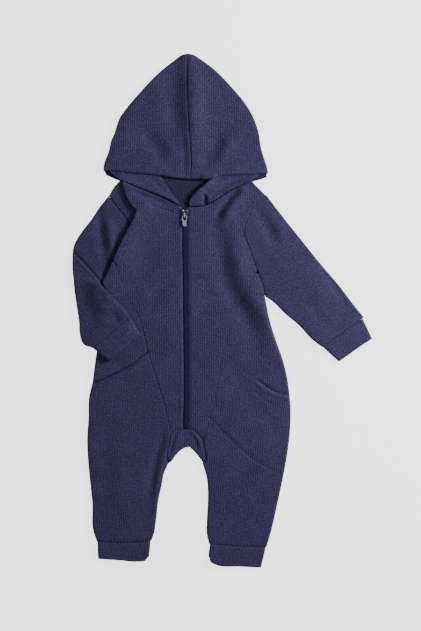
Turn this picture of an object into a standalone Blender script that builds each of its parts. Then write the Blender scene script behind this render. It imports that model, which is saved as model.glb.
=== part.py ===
"""Baby hooded romper in waffle knit, with a front zip, laid flat on its back with the hood up.

The sleeve at -X is bent at the elbow, so that its forearm and cuff lie on the front.
The frame has +X to the right, +Y towards the hood's peak and +Z away from the surface that
the romper lies on. Its origin is in the middle of the underside. Table sizes are millimetres.
"""
import math
from dataclasses import dataclass

import bmesh
import bpy
import numpy as np
from mathutils import Vector

# ---------------------------------------------------------------- driving sizes (millimetres)
MM = 0.001
KNIT = 2.0              # thickness of the waffle knit
LOFT = 7.0              # height of a front that lies on its back
HOOD_LOFT = 7.8         # height of the hood's top layer
BAND_LOFT = 5.4         # height of the hood's lower fronts, where the top layer covers them
NECK_LOFT = 8.4         # their height at the neck seam
NECK_RISE_WIDTH = 6.5   # width of that rise
CUFF_LOFT = 7.4         # height of the doubled cuffs and ankle bands
MEETING = 0.5           # stretches of a seam that end closer than this share a point
SEAM_GAP = 0.3          # clearance between two sewn pieces
SEAM_INSET = 0.2        # share of it that each piece gives, measured along a section
LAY_GAP = 0.9           # clearance under cloth that lies on cloth
LIP_RADIUS = 2.4        # turn of the front's folded edge over the bent sleeve
LIP_ANGLE = 110.0       # how far that edge curls under, in degrees
HEM_RADIUS = 2.3        # turn of the hood's rolled edges
HEM_ANGLE = 72.0
TURN_STEPS = 3          # facets in a quarter turn
FLAT_TURN = 5.0         # width that the turn's facets take where an edge lies flat
ROW_SAMPLES = 61        # points that measure a section's length
BODY_STEPS = 6          # facets across a front panel
ZIP_HALF_WIDTH = 4.3    # from the zip's middle to the edge of a front
TAPE_FLOOR = 3.8        # underside of the zip tapes
# A tape's (offset from the zip's middle, height) points, from its outer edge over the coil.
TAPE_PROFILE = ((11.0, 4.6), (3.6, 4.6), (2.7, 5.2), (2.3, 6.1), (1.2, 6.5), (0.15, 6.1))
SHOULDER_LIMIT = (-130, 100)  # the left shoulder lies beyond this x and y
FOLD_FADE = 0.3         # share of a fold's length over which it fades in or out
FLAT_SHARE = 0.3        # most of a section's length that a flat edge's facets take
CLIMB_START = -15.0     # distance from the body's side at which the bent sleeve leaves the floor
CLIMB_WIDTH = 13.0      # width over which it rises to the front's height
ARM_CLEARANCE = (0.7, -0.3)  # from the bent sleeve's inner edge to the back that it is sewn to
BACK_ARM_ROWS = (2, 7)  # the sections of that sleeve whose inner ends the back's edge follows
TIP_SHARE = 0.3         # how far a pointed piece starts from the point where its seams meet
BACK_STEPS = 4          # facets across half of the back
BACK_CENTRE_STEPS = 22  # sections from the neck to the crotch
SLEEVE_STEPS = 6        # facets across a sleeve
CUFF_STEPS = 6          # facets across a cuff
CUFF_ROWS = 2           # sections along a cuff
HOOD_STEPS = 6          # facets from the hood's fold to its hem
HOOD_ROWS = 14          # sections from the hood's centre seam to its corner
BAND_STEPS = 4          # facets across the hood's lower fronts
BAND_ROWS = 12          # sections along them
ZIP_ROWS = 12           # sections along the zip
SLEEVE_ROWS = 12        # sections along the straight sleeve
SLIDER_X = -54.2        # middle of the slider and its pull
SLIDER_Y = 141.0
PLATE_LOW = 7.5         # underside of the slider's plate, clear of the fronts
PLATE_TOP = 8.7
PLATE_BEVEL = 0.35
BEVEL_ANGLE = 40.0      # edges sharper than this, in degrees, are bevelled
SHARP_ANGLE = 50.0      # edges sharper than this, in degrees, are shaded sharp
SLIDER_HALF_OUTLINE = ((0.0, -6.5), (3.4, -6.5), (3.7, -2.5), (4.9, 1.5), (5.0, 5.4), (3.9, 6.5),
                       (2.0, 6.3), (1.0, 5.2))
KEEL_HALF_WIDTH = 1.6   # rib under the plate that runs in the coil
KEEL_HALF_LENGTH = 5.0
KEEL_DEPTH = 0.5
BAIL_Y = 138.4          # middle of the loop that holds the pull
BAIL_HALF_LENGTH = 3.9
BAIL_HEIGHT = 2.9
BAIL_WIDTH = 1.6
BAIL_THICKNESS = 1.0
BAIL_ROOT = 0.4         # how deep the loop and the keel reach into the plate
BAIL_SQUARENESS = 0.6   # 1 is an ellipse, less is squarer
BAIL_STEPS = 10
PULL_AXIS_Y = 137.6
PULL_AXIS_Z = 9.7       # height of the pull's crossbar
PULL_THICKNESS = 1.1
PULL_BEVEL = 0.2
PULL_HALF_OUTLINE = ((0.0, 0.55), (1.2, 0.55), (2.2, 0.4), (2.5, -2.0), (2.9, -5.0), (3.4, -9.0),
                     (3.5, -12.5), (3.2, -14.4), (2.2, -15.1), (0.0, -15.3))
PULL_HALF_SLOT = ((0.0, -0.55), (0.8, -0.55), (1.15, -0.6), (1.2, -1.6), (1.2, -3.0), (1.2, -4.4),
                  (1.1, -5.2), (0.9, -5.6), (0.5, -5.8), (0.0, -5.9))

# ---------------------------------------------------------------- outlines and seams
# Smooth curves through (x, y) points, each listed from the neck downwards or from the
# outside inwards.
HOOD_PEAK = (-50, 371)
HOOD_FOLD_LEFT = (HOOD_PEAK, (-68, 362), (-90, 345), (-119, 315), (-136, 295), (-148, 278),
                  (-155, 255), (-162, 231), (-170, 207))
HOOD_FOLD_RIGHT = (HOOD_PEAK, (-32, 364), (-14, 351), (12, 325), (38, 289), (46, 272), (51, 258), (55, 236),
                   (61, 215), (65, 202))
HOOD_CENTRE = (HOOD_PEAK, (-51, 335), (-50, 306), (-48, 265), (-46, 240), (-45, 219), (-46, 191))
HOOD_BACK_CENTRE = (HOOD_PEAK, (-51, 280), (-54, 178))
HOOD_HEM_LEFT = ((-46, 191), (-61, 192), (-90, 196), (-119, 199), (-148, 202), (-163, 204))
HOOD_HEM_RIGHT = ((-46, 191), (-14, 192), (-3, 195), (22, 197), (44, 198), (58, 199))
NAPE_LEFT = ((-54, 178), (-90, 181), (-120, 185), (-146, 190), (-159, 198), (-166, 203))
NAPE_RIGHT = ((-54, 178), (-17, 181), (15, 184), (40, 188), (52, 193), (60, 198))

BAND_TOP_LEFT = ((-166, 205), (-120, 207), (-100, 204), (-88, 194), (-81, 183), (-72, 169), (-63, 159))
BAND_LOW_LEFT = ((-148, 190), (-119, 178), (-90, 167), (-75, 160), (-61, 152))
BAND_TOP_RIGHT = ((60, 201), (20, 205), (-8, 201), (-17, 191), (-32, 178), (-43, 168), (-48, 159))
BAND_LOW_RIGHT = ((42, 189), (14, 176), (-10, 161), (-28, 153), (-46, 151))

NECK_LEFT = ((-144, 188), (-119, 177), (-90, 166), (-75, 159), (-58, 151))
NECK_RIGHT = ((-50, 151), (-28, 152), (-10, 160), (14, 175), (42, 188))
NAPE_SEAM_LEFT = ((-147, 188), (-120, 184), (-90, 180), (-54, 177))
NAPE_SEAM_RIGHT = ((-54, 177), (-17, 180), (15, 183), (42, 187))

LIP_UPPER = ((-144, 188), (-142, 175), (-138, 164), (-131, 153), (-124, 147))
LIP_MIDDLE = ((-124, 147), (-128, 136), (-136, 120), (-145, 103), (-152, 88), (-158, 75))
LIP_LOWER = ((-158, 75), (-165, 59), (-174, 42))
SIDE_LEFT_HIDDEN = ((-174, 42), (-168, 24), (-167, 0), (-171, -30), (-180, -58))
SIDE_LEFT = ((-180, -58), (-182, -75), (-185, -104))
LEG_LEFT_OUTER = ((-185, -104), (-190, -125), (-192, -157), (-194, -186), (-191, -226), (-188, -254),
                  (-186, -278), (-185, -316), (-180, -334))
SHOULDER_LEFT = ((-147, 188), (-155, 179), (-163, 166))
SHOULDER_UNDER_LIP = ((-140, 185), (-137, 173), (-132, 161), (-121, 150), (-123, 138), (-128, 124))
ARMHOLE_LEFT = ((-163, 166), (-155, 155), (-146, 144), (-134, 130))
ARMHOLE_LEFT_HIDDEN = ((-163, 166), (-155, 155), (-146, 144), (-134, 130), (-128, 124))

SHOULDER_RIGHT = ((42, 188), (46, 181), (64, 167))
ARMHOLE_RIGHT_UPPER = ((64, 167), (58, 161), (44, 149), (38, 136), (32, 116), (33, 106), (39, 93), (44, 78),
                       (51, 59))
ARMHOLE_RIGHT_LOWER = ((51, 59), (56, 45), (60, 33), (62, 22))
SIDE_RIGHT = ((62, 22), (64, 1), (66, -13), (76, -45), (86, -72), (94, -104), (96, -122))
LEG_RIGHT_OUTER = ((96, -122), (97, -140), (97, -160), (94, -193), (90, -218), (84, -251), (79, -274),
                   (74, -299), (69, -322), (63, -342))

PRINCESS_LEFT_UPPER = ((-158, 75), (-154, 67), (-146, 44), (-137, 23), (-128, 5), (-120, -9), (-113, -33),
                       (-107, -60))
PRINCESS_LEFT_LOWER = ((-107, -60), (-101, -80), (-94, -102), (-88, -120), (-80, -151), (-74, -175))
PRINCESS_RIGHT_UPPER = ((51, 59), (43, 44), (32, 23), (22, 5), (15, -9), (8, -33), (1, -59))
PRINCESS_RIGHT_LOWER = ((1, -59), (-4, -90), (-8, -112), (-11, -135), (-17, -152), (-23, -173), (-28, -187))
POCKET_LEFT = ((-185, -104), (-177, -101), (-162, -94), (-148, -87), (-133, -79), (-119, -68), (-107, -60))
POCKET_RIGHT = ((1, -59), (38, -91), (54, -102), (65, -110), (75, -117), (86, -121), (96, -122))

ZIP_LINE = ((-54, 150), (-54, 110), (-53, 16), (-52, -129), (-53, -171))
GUSSET_LEFT = ((-74, -175), (-76, -190), (-79, -203), (-80, -214))
GUSSET_TOP_LEFT = ((-74, -175), (-66, -172), (-57, -171))
GUSSET_TOP_RIGHT = ((-49, -171), (-43, -172), (-36, -177), (-31, -183), (-28, -187))
GUSSET_RIGHT = ((-28, -187), (-26, -197), (-24, -206), (-23, -215))
CROTCH_LEFT = ((-76, -217), (-66, -204), (-57, -197), (-47, -195))
CROTCH_RIGHT = ((-47, -195), (-40, -202), (-30, -214), (-27, -218))
LEG_LEFT_INNER = ((-80, -222), (-87, -236), (-90, -254), (-94, -274), (-97, -303), (-100, -322),
                  (-104, -333))
LEG_RIGHT_INNER = ((-26, -222), (-19, -243), (-18, -258), (-18, -278), (-20, -303), (-20, -325),
                   (-17, -338))
BACK_CENTRE = ((-54, 177), (-53, 60), (-51, -80), (-47, -195))
ANKLE_SEAM_LEFT = ((-180, -334), (-142, -336), (-104, -333))
ANKLE_SEAM_RIGHT = ((-17, -338), (22, -341), (63, -342))

SLEEVE_RIGHT_OUTER = ((64, 167), (93, 128), (113, 104), (140, 70), (171, 32), (200, -9))
SLEEVE_RIGHT_INNER = ((63, 22), (72, 16), (92, -3), (113, -20), (133, -40), (147, -50))
CUFF_RIGHT_END = ((215.6, -41), (200, -49), (186, -59), (171, -71))
CUFF_LEFT_END = ((-162, -72), (-149, -62), (-129, -42), (-120, -35))
BAND_LEFT_END = ((-178, -359), (-138, -361), (-107, -358))
BAND_RIGHT_END = ((-17, -361), (-12, -366), (28, -369), (55, -371))


@dataclass(frozen=True)
class SleeveSection:
    """A section of the bent sleeve: its two edges, and how far it has climbed onto the front."""

    outer_x: float
    outer_y: float
    inner_x: float
    inner_y: float
    lift: float


BENT_SLEEVE = (
    SleeveSection(-164, 165, -136, 130, 0.0),
    SleeveSection(-176, 150, -135, 117, 0.0),
    SleeveSection(-188, 132, -136, 104, 0.0),
    SleeveSection(-199, 118, -143, 91, 0.0),
    SleeveSection(-208, 105, -152, 77, 0.0),
    SleeveSection(-214, 92, -160, 62, 0.0),
    SleeveSection(-215.5, 77, -168, 49, 0.0),
    SleeveSection(-215.5, 61, -177, 43, 0.15),
    SleeveSection(-214, 45, -174, 36, 0.75),
    SleeveSection(-212, 26, -165, 26, 1.0),
    SleeveSection(-209, 6, -156, 16, 1.0),
    SleeveSection(-206, -14, -148, 8, 1.0),
    SleeveSection(-204, -32, -142, 1, 1.0),
    SleeveSection(-198, -46, -137, -5, 1.0),
    SleeveSection(-185, -51, -134, -9, 1.0),
)


@dataclass(frozen=True)
class Fold:
    """A soft ridge or, with a height below zero, a trough along a path."""

    path: tuple
    width: float
    height: float
    start: float = 0.0
    end: float = 0.0


FRONT_FOLDS = (
    Fold(((-144, 188), (-138, 164), (-124, 147), (-136, 120), (-155, 81), (-174, 42)), 26, 5.6, 0.7, 0.7),
    Fold(((22, 172), (9, 160), (-1, 146), (-12, 132)), 7, -1.5),
    Fold(((34, 176), (20, 156), (8, 138)), 9, 0.9),
    Fold(((10, 116), (12, 74), (17, 32), (36, 1), (45, -29), (54, -71)), 18, -1.3, 0.3, 0.2),
    Fold(((52, 30), (62, -12), (74, -60)), 12, 0.8),
    Fold(((-86, -160), (-88, -187), (-99, -222), (-104, -254), (-106, -274)), 9, -1.5),
    Fold(((-82, -180), (-88, -214), (-97, -254), (-101, -300)), 6, 0.8),
    Fold(((-13, -154), (12, -188), (44, -215), (78, -233)), 5, 0.8, 0.8, 0.8),
    Fold(((-100, 118), (-112, 60), (-104, 10)), 22, -0.6),
    Fold(((-150, -160), (-148, -230), (-144, -300)), 20, 0.5),
    Fold(((30, -240), (26, -290), (24, -325)), 14, -0.6),
    Fold(((-110, -66), (-133, -84), (-162, -99), (-183, -108)), 4, 0.9, 1.0, 1.0),
    Fold(((2, -66), (38, -97), (65, -116), (95, -127)), 4, 0.9, 1.0, 1.0),
)
HOOD_FOLDS = (
    Fold(((-46, 192), (-90, 197), (-160, 204)), 12, 0.5, 1.0, 1.0),
    Fold(((-46, 192), (0, 195), (58, 199)), 12, 0.5, 1.0, 1.0),
    Fold(((-58, 350), (-65, 303), (-57, 277), (-64, 260)), 9, -0.9),
    Fold(((-107, 248), (-90, 226)), 9, -0.8),
    Fold(((1, 241), (-10, 222)), 9, -0.8),
    Fold(((-54, 241), (-54, 197)), 4, -0.6, 0.0, 0.8),
    Fold(((-44, 240), (-43, 200)), 4, 0.4, 0.0, 0.8),
    Fold(((-120, 300), (-130, 240)), 18, 0.5),
    Fold(((20, 300), (34, 240)), 18, 0.5),
)
SLEEVE_FOLDS = (
    Fold(((-213, 80), (-197, 60), (-180, 42)), 5, 2.0, 0.6, 1.0),
    Fold(((-207, 92), (-190, 70), (-176, 52)), 6, -1.4, 0.4, 0.8),
    Fold(((-175, 141), (-175, 117), (-181, 92)), 8, -1.2),
    Fold(((-160, 136), (-163, 110)), 8, 0.6),
    Fold(((-176, 20), (-150, -16)), 9, 0.6),
    Fold(((-158, -5), (-166, -22), (-178, -38)), 5, -0.8),
    Fold(((72, 118), (96, 74), (92, 38)), 14, -1.0),
    Fold(((110, 66), (150, 14)), 14, 0.7),
    Fold(((60, 150), (66, 110), (58, 80)), 9, 0.6),
    Fold(((176, 8), (168, -18), (160, -34)), 6, -0.6),
)


# ---------------------------------------------------------------- curves and heights
def curve(points, steps):
    """Return steps + 1 points at equal distances along a smooth curve through the points."""
    knots = np.array(points, float)
    chords = np.linalg.norm(np.diff(knots, axis=0), axis=1)
    reach = np.concatenate(([0.0], np.cumsum(chords)))
    slopes = np.gradient(knots, reach, axis=0)
    at = np.linspace(0.0, reach[-1], 40 * len(knots))
    k = np.clip(np.searchsorted(reach, at, side="right") - 1, 0, len(chords) - 1)
    h = chords[k][:, None]
    t = ((at - reach[k]) / chords[k])[:, None]
    blend_a = (1 + 2 * t) * (1 - t) ** 2 * knots[k] + t * (1 - t) ** 2 * h * slopes[k]
    blend_b = t * t * (3 - 2 * t) * knots[k + 1] + t * t * (t - 1) * h * slopes[k + 1]
    return resample(blend_a + blend_b, steps)


def resample(line, steps):
    """Return steps + 1 points at equal distances along a polyline."""
    lengths = np.concatenate(([0.0], np.cumsum(np.linalg.norm(np.diff(line, axis=0), axis=1))))
    at = np.linspace(0.0, lengths[-1], steps + 1)
    return np.stack([np.interp(at, lengths, line[:, i]) for i in range(line.shape[1])], axis=1)


def join(*stretches):
    """Join stretches, keeping a point once where they meet."""
    parts = [stretches[0]]
    for stretch in stretches[1:]:
        same = np.linalg.norm(stretch[0] - parts[-1][-1]) < MEETING
        parts.append(stretch[1:] if same else stretch)
    return np.concatenate(parts)


def distance_along(points, path):
    """Return each point's distance from a path, and how far along the path it lies (0 to 1)."""
    knots = np.array(path, float)
    starts = knots[:-1]
    runs = knots[1:] - starts
    lengths = np.linalg.norm(runs, axis=1)
    before = np.concatenate(([0.0], np.cumsum(lengths)))[:-1]
    to_point = points[:, None, :] - starts[None]
    t = np.clip((to_point * runs).sum(2) / lengths ** 2, 0.0, 1.0)
    gap = np.linalg.norm(to_point - t[..., None] * runs, axis=2)
    nearest = gap.argmin(1)
    rows = np.arange(len(points))
    along = (before[nearest] + t[rows, nearest] * lengths[nearest]) / lengths.sum()
    return gap[rows, nearest], along


def smooth(value):
    """Ease from 0 to 1."""
    t = np.clip(value, 0.0, 1.0)
    return t * t * (3 - 2 * t)


def folds_height(points, folds):
    """Sum the soft ridges and troughs at each point."""
    total = np.zeros(len(points))
    for fold in folds:
        gap, along = distance_along(points, fold.path)
        fade_in = fold.start + (1 - fold.start) * smooth(along / FOLD_FADE)
        fade_out = fold.end + (1 - fold.end) * smooth((1 - along) / FOLD_FADE)
        total += fold.height * np.exp(-(gap / fold.width) ** 2) * fade_in * fade_out
    return total


def front_top(points):
    """Height of the front's outer side."""
    return LOFT + folds_height(points, FRONT_FOLDS)


def front_low(points):
    """Height of the cloth that lies under the front's folded edge."""
    return np.full(len(points), LOFT)


def back_partner(points):
    """Height of the cloth that the back's turned edge meets at each point."""
    under_lip = (points[:, 0] < SHOULDER_LIMIT[0]) & (points[:, 1] > SHOULDER_LIMIT[1])
    return np.where(under_lip, front_low(points), front_top(points))


def hood_top(points):
    """Height of the hood's top layer."""
    return HOOD_LOFT + folds_height(points, HOOD_FOLDS)


def band_top(points):
    """Height of the hood's lower fronts: low under the top layer, raised at the neck seam."""
    low_left, _ = distance_along(points, BAND_LOW_LEFT)
    low_right, _ = distance_along(points, BAND_LOW_RIGHT)
    near = np.minimum(low_left, low_right)
    return BAND_LOFT + (NECK_LOFT - BAND_LOFT) * np.exp(-(near / NECK_RISE_WIDTH) ** 2)


def floor_level(points):
    """Height of the surface that the romper lies on."""
    return np.zeros(len(points))


def body_edge_x(y):
    """Where the hidden side of the front lies under the bent sleeve."""
    return np.interp(y, (-58, -30, 0, 24, 42, 60), (-180, -171, -167, -168, -174, -166))


def on_front(points):
    """Height at which cloth lies on the front, sloping down to the floor beside it."""
    beside = points[:, 0] - body_edge_x(points[:, 1])
    return (front_top(points) + LAY_GAP) * smooth((beside - CLIMB_START) / CLIMB_WIDTH)


# ---------------------------------------------------------------- sections of cloth
def section_rows(left, right, top=None, bottom=None):
    """Lay straight sections between two edges, bent at the ends of the piece like its seams."""
    count = len(left)
    u = np.linspace(0.0, 1.0, ROW_SAMPLES)[:, None]
    rows = []
    for i in range(count):
        v = i / (count - 1)
        row = (1 - u) * left[i] + u * right[i]
        for seam, share in ((top, (1 - v) ** 2), (bottom, v ** 2)):
            if seam is not None:
                cut = isinstance(seam, np.ndarray)
                line = resample(seam, ROW_SAMPLES - 1) if cut else curve(seam, ROW_SAMPLES - 1)
                row = row + share * (line - ((1 - u) * line[0] + u * line[-1]))
        rows.append(row)
    rows = np.array(rows)
    for end, inner in ((0, 1), (-1, -2)):
        step = rows[inner] - rows[end]
        rows[end] += SEAM_GAP / 2 * step / np.linalg.norm(step, axis=1)[:, None]
    return rows


@dataclass
class Edge:
    """How a wall ends at one side; the angle and radius are one for all sections or one for each."""

    angle: float = 0.0      # degrees that the wall turns
    radius: float = 0.0     # fixed radius, or 0 where the turn reaches down to the foot
    foot: float = 0.5       # share of the height at which a quarter turn ends
    inset: float = SEAM_INSET
    steps: int = TURN_STEPS

    def at(self, number, count):
        """Return the edge of one section out of a count."""
        angles = np.broadcast_to(self.angle, (count,))
        radii = np.broadcast_to(self.radius, (count,))
        return Edge(float(angles[number]), float(radii[number]), self.foot, self.inset, self.steps)


def along_row(row):
    """Return a function from a distance along a section to its point."""
    reach = np.concatenate(([0.0], np.cumsum(np.linalg.norm(np.diff(row, axis=0), axis=1))))

    def place(at):
        """Points at distances along the section."""
        return np.stack([np.interp(at, reach, row[:, 0]), np.interp(at, reach, row[:, 1])], axis=1)

    return place, reach[-1]


def wall_section(row, height, side, edges, flats, base=floor_level):
    """Return the outer and inner points of one wall section from edge to edge.

    side is 1 for an upper layer, whose outer side is its top, and -1 for a lower one.
    """
    place, length = along_row(row)
    taken = sum(edge.inset + (edge.radius or LOFT / 2) * math.sin(math.radians(min(edge.angle, 90.0)))
                for edge in edges)
    flat_turn = min(FLAT_TURN, FLAT_SHARE * (length - taken))
    turns = []
    for edge, at_start in zip(edges, (True, False)):
        end = place(np.array([0.0 if at_start else length]))
        tall = height(end)[0]
        low = base(end)[0]
        middle = low + (tall - low) * edge.foot + side * SEAM_GAP / 2
        radius = edge.radius or abs((tall if side > 0 else low) - middle)
        bend = math.radians(edge.angle)
        share = min(edge.angle / 90.0, 1.0)
        reach = radius * math.sin(min(bend, math.pi / 2)) + (1 - share) * flat_turn
        part = np.linspace(1.0, 0.0, edge.steps + 1)[:-1]
        flat_part = part * (1 - share) * flat_turn
        turns.append((radius, part * bend, reach, flat_part, edge.inset))
    start = turns[0][4] + turns[0][2]
    stop = length - turns[1][4] - turns[1][2]
    surface = height if side > 0 else base
    outer_at, outer_z, inner_at, inner_z = [], [], [], []

    def add_turn(turn, at_start):
        """Add the points of one turned edge, from the edge inwards."""
        radius, phi, reach, flat_part, inset = turn
        sign = 1.0 if at_start else -1.0
        root = start if at_start else stop
        level_at = root - sign * flat_part
        level = surface(place(level_at))
        out_at = level_at - sign * radius * np.sin(phi)
        in_at = level_at - sign * (radius - KNIT) * np.sin(phi)
        out_z = level - side * radius * (1 - np.cos(phi))
        in_z = level - side * (radius - (radius - KNIT) * np.cos(phi))
        order = slice(None) if at_start else slice(None, None, -1)
        outer_at.append(out_at[order])
        outer_z.append(out_z[order])
        inner_at.append(in_at[order])
        inner_z.append(in_z[order])

    add_turn(turns[0], True)
    flat = np.linspace(start, stop, flats + 1)
    level = surface(place(flat))
    outer_at.append(flat)
    outer_z.append(level)
    inner_at.append(flat)
    inner_z.append(level - side * KNIT)
    add_turn(turns[1], False)
    outer = np.column_stack([place(np.concatenate(outer_at)), np.concatenate(outer_z)])
    inner = np.column_stack([place(np.concatenate(inner_at)), np.concatenate(inner_z)])
    return outer, inner


def seam_edge(inset=SEAM_INSET):
    """Return an edge that lies flat against a seam."""
    return Edge(inset=inset, steps=1)


def sheet(rows, height, edges, flats, side=1, base=floor_level):
    """Return the outer and inner grids of an open wall."""
    count = len(rows)
    pairs = [wall_section(rows[i], height, side, [edge.at(i, count) for edge in edges], flats, base)
             for i in range(count)]
    return np.array([p[0] for p in pairs]), np.array([p[1] for p in pairs])


def tube(rows, height, flats, base=floor_level, bases=None):
    """Return the outer and inner grids of a flattened tube, whose sections close on themselves."""
    edge = Edge(angle=90.0, foot=0.5, inset=0.0)
    rings = []
    for i, row in enumerate(rows):
        under = bases[i] if bases else base

        def over(points, under=under):
            """Top of the tube at this section."""
            return height(points) + under(points)

        top = wall_section(row, over, 1, (edge, edge), flats, under)
        low = wall_section(row, over, -1, (edge, edge), flats, under)
        rings.append([np.concatenate([top[k], low[k][::-1]]) for k in (0, 1)])
    return np.array([r[0] for r in rings]), np.array([r[1] for r in rings])


# ---------------------------------------------------------------- meshes and materials
def material(name, colour, roughness, metallic=0.0):
    """Make a Principled material."""
    made = bpy.data.materials.new(name)
    made.use_nodes = True
    shader = made.node_tree.nodes["Principled BSDF"]
    shader.inputs["Base Color"].default_value = (*colour, 1.0)
    shader.inputs["Roughness"].default_value = roughness
    shader.inputs["Metallic"].default_value = metallic
    return made


def add_object(name, vertices, faces, finish):
    """Make an object from vertices in millimetres, with its faces turned outwards."""
    mesh = bpy.data.meshes.new(name)
    mesh.from_pydata([Vector(v) * MM for v in vertices], [], faces)
    work = bmesh.new()
    work.from_mesh(mesh)
    bmesh.ops.recalc_face_normals(work, faces=work.faces)
    if work.calc_volume(signed=True) < 0:
        bmesh.ops.reverse_faces(work, faces=work.faces)
    work.to_mesh(mesh)
    work.free()
    mesh.shade_smooth()
    mesh.set_sharp_from_angle(angle=math.radians(SHARP_ANGLE))
    mesh.materials.append(finish)
    made = bpy.data.objects.new(name, mesh)
    bpy.context.collection.objects.link(made)
    return made


def wall_object(name, grids, finish, closed=False):
    """Make a closed wall from pairs of outer and inner grids, sewn where their edges coincide."""
    index = {}
    outer_points = []
    inner_points = []
    quads = []
    for outer, inner in grids:
        rows, columns = outer.shape[:2]
        ids = np.empty((rows, columns), int)
        for i in range(rows):
            for j in range(columns):
                key = tuple(np.round(np.concatenate([outer[i, j], inner[i, j]]), 3))
                if key not in index:
                    index[key] = len(outer_points)
                    outer_points.append(outer[i, j])
                    inner_points.append(inner[i, j])
                ids[i, j] = index[key]
        last = columns if closed else columns - 1
        for i in range(rows - 1):
            for j in range(last):
                k = (j + 1) % columns
                quad = (ids[i, j], ids[i + 1, j], ids[i + 1, k], ids[i, k])
                quads.append(tuple(int(q) for q in quad))
    count = len(outer_points)
    used = {}
    for quad in quads:
        for a, b in zip(quad, quad[1:] + quad[:1]):
            used[(a, b)] = used.get((a, b), 0) + 1
    rims = [(b, a, a + count, b + count) for a, b in used if (b, a) not in used]
    inners = [tuple(q + count for q in reversed(quad)) for quad in quads]
    return add_object(name, outer_points + inner_points, quads + rims + inners, finish)


# ---------------------------------------------------------------- the romper's pieces
def shared_seams():
    """Cut each seam into the points that the pieces on both sides of it share."""
    cuts = {
        "lip_upper": (LIP_UPPER, 4), "lip_middle": (LIP_MIDDLE, 5), "lip_lower": (LIP_LOWER, 3),
        "side_left_hidden": (SIDE_LEFT_HIDDEN, 5), "side_left": (SIDE_LEFT, 2),
        "leg_left_outer": (LEG_LEFT_OUTER, 13),
        "shoulder_right": (SHOULDER_RIGHT, 2), "arm_right_upper": (ARMHOLE_RIGHT_UPPER, 7),
        "arm_right_lower": (ARMHOLE_RIGHT_LOWER, 2), "side_right": (SIDE_RIGHT, 8),
        "leg_right_outer": (LEG_RIGHT_OUTER, 13),
        "princess_left_upper": (PRINCESS_LEFT_UPPER, 10), "princess_left_lower": (PRINCESS_LEFT_LOWER, 6),
        "princess_right_upper": (PRINCESS_RIGHT_UPPER, 10),
        "princess_right_lower": (PRINCESS_RIGHT_LOWER, 6),
        "gusset_left": (GUSSET_LEFT, 2), "gusset_right": (GUSSET_RIGHT, 2),
        "gusset_top_left": (GUSSET_TOP_LEFT, 2), "gusset_top_right": (GUSSET_TOP_RIGHT, 3),
        "crotch_left": (CROTCH_LEFT, 4), "crotch_right": (CROTCH_RIGHT, 5),
        "leg_left_inner": (LEG_LEFT_INNER, 4), "leg_right_inner": (LEG_RIGHT_INNER, 4),
    }
    return {name: curve(points, steps) for name, (points, steps) in cuts.items()}


def zip_edge(offset, steps):
    """Return points beside the zip's middle line."""
    return curve(ZIP_LINE, steps) + np.array([offset, 0.0])


def build_fronts(seams, cloth):
    """Make the front panels beside the zip."""
    lip = join(seams["lip_upper"], seams["lip_middle"])
    left = join(lip, seams["princess_left_upper"], seams["princess_left_lower"])
    angles = np.where(np.arange(len(left)) < len(lip), LIP_ANGLE, 0.0)
    edges = (Edge(angle=angles, radius=LIP_RADIUS), seam_edge())
    rows = section_rows(left, zip_edge(-ZIP_HALF_WIDTH, len(left) - 1), NECK_LEFT, GUSSET_TOP_LEFT)
    wall_object("front_left", [sheet(rows, front_top, edges, BODY_STEPS)], cloth)

    right = join(seams["shoulder_right"], seams["arm_right_upper"], seams["princess_right_upper"],
                 seams["princess_right_lower"])
    angles = np.where(np.arange(len(right)) < len(seams["shoulder_right"]) - 1, 90.0, 0.0)
    edges = (seam_edge(), Edge(angle=angles))
    rows = section_rows(zip_edge(ZIP_HALF_WIDTH, len(right) - 1), right, NECK_RIGHT, GUSSET_TOP_RIGHT)
    wall_object("front_right", [sheet(rows, front_top, edges, BODY_STEPS)], cloth)


def pointed(line):
    """Move a line's first point a little way towards its second, where two seams run together."""
    line = line.copy()
    line[0] += TIP_SHARE * (line[1] - line[0])
    return line


def build_sides(seams, cloth):
    """Make the side panels, from the armholes down to the pocket mouths."""
    outer = pointed(join(seams["lip_lower"], seams["side_left_hidden"], seams["side_left"]))
    lipped = np.arange(len(outer)) < len(seams["lip_lower"])
    edge = Edge(angle=np.where(lipped, LIP_ANGLE, 90.0), radius=np.where(lipped, LIP_RADIUS, 0.0))
    rows = section_rows(outer, pointed(seams["princess_left_upper"]), None, POCKET_LEFT)
    wall_object("side_left", [sheet(rows, front_top, (edge, seam_edge()), BODY_STEPS)], cloth)

    outer = pointed(join(seams["arm_right_lower"], seams["side_right"]))
    angles = np.where(np.arange(len(outer)) < len(seams["arm_right_lower"]), 0.0, 90.0)
    edges = (seam_edge(), Edge(angle=angles))
    rows = section_rows(pointed(seams["princess_right_upper"]), outer, None, POCKET_RIGHT)
    wall_object("side_right", [sheet(rows, front_top, edges, BODY_STEPS)], cloth)


def build_legs(seams, cloth):
    """Make the leg fronts, from the pocket mouths down to the ankle seams."""
    inner = join(seams["princess_left_lower"], seams["gusset_left"], seams["leg_left_inner"])
    sewn = len(seams["princess_left_lower"]) + len(seams["gusset_left"]) - 1
    angles = np.where(np.arange(len(inner)) < sewn, 0.0, 90.0)
    edges = (Edge(angle=90.0), Edge(angle=angles))
    rows = section_rows(seams["leg_left_outer"], inner, POCKET_LEFT, ANKLE_SEAM_LEFT)
    wall_object("leg_left", [sheet(rows, front_top, edges, BODY_STEPS)], cloth)

    inner = join(seams["princess_right_lower"], seams["gusset_right"], seams["leg_right_inner"])
    rows = section_rows(inner, seams["leg_right_outer"], POCKET_RIGHT, ANKLE_SEAM_RIGHT)
    wall_object("leg_right", [sheet(rows, front_top, edges[::-1], BODY_STEPS)], cloth)


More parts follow.
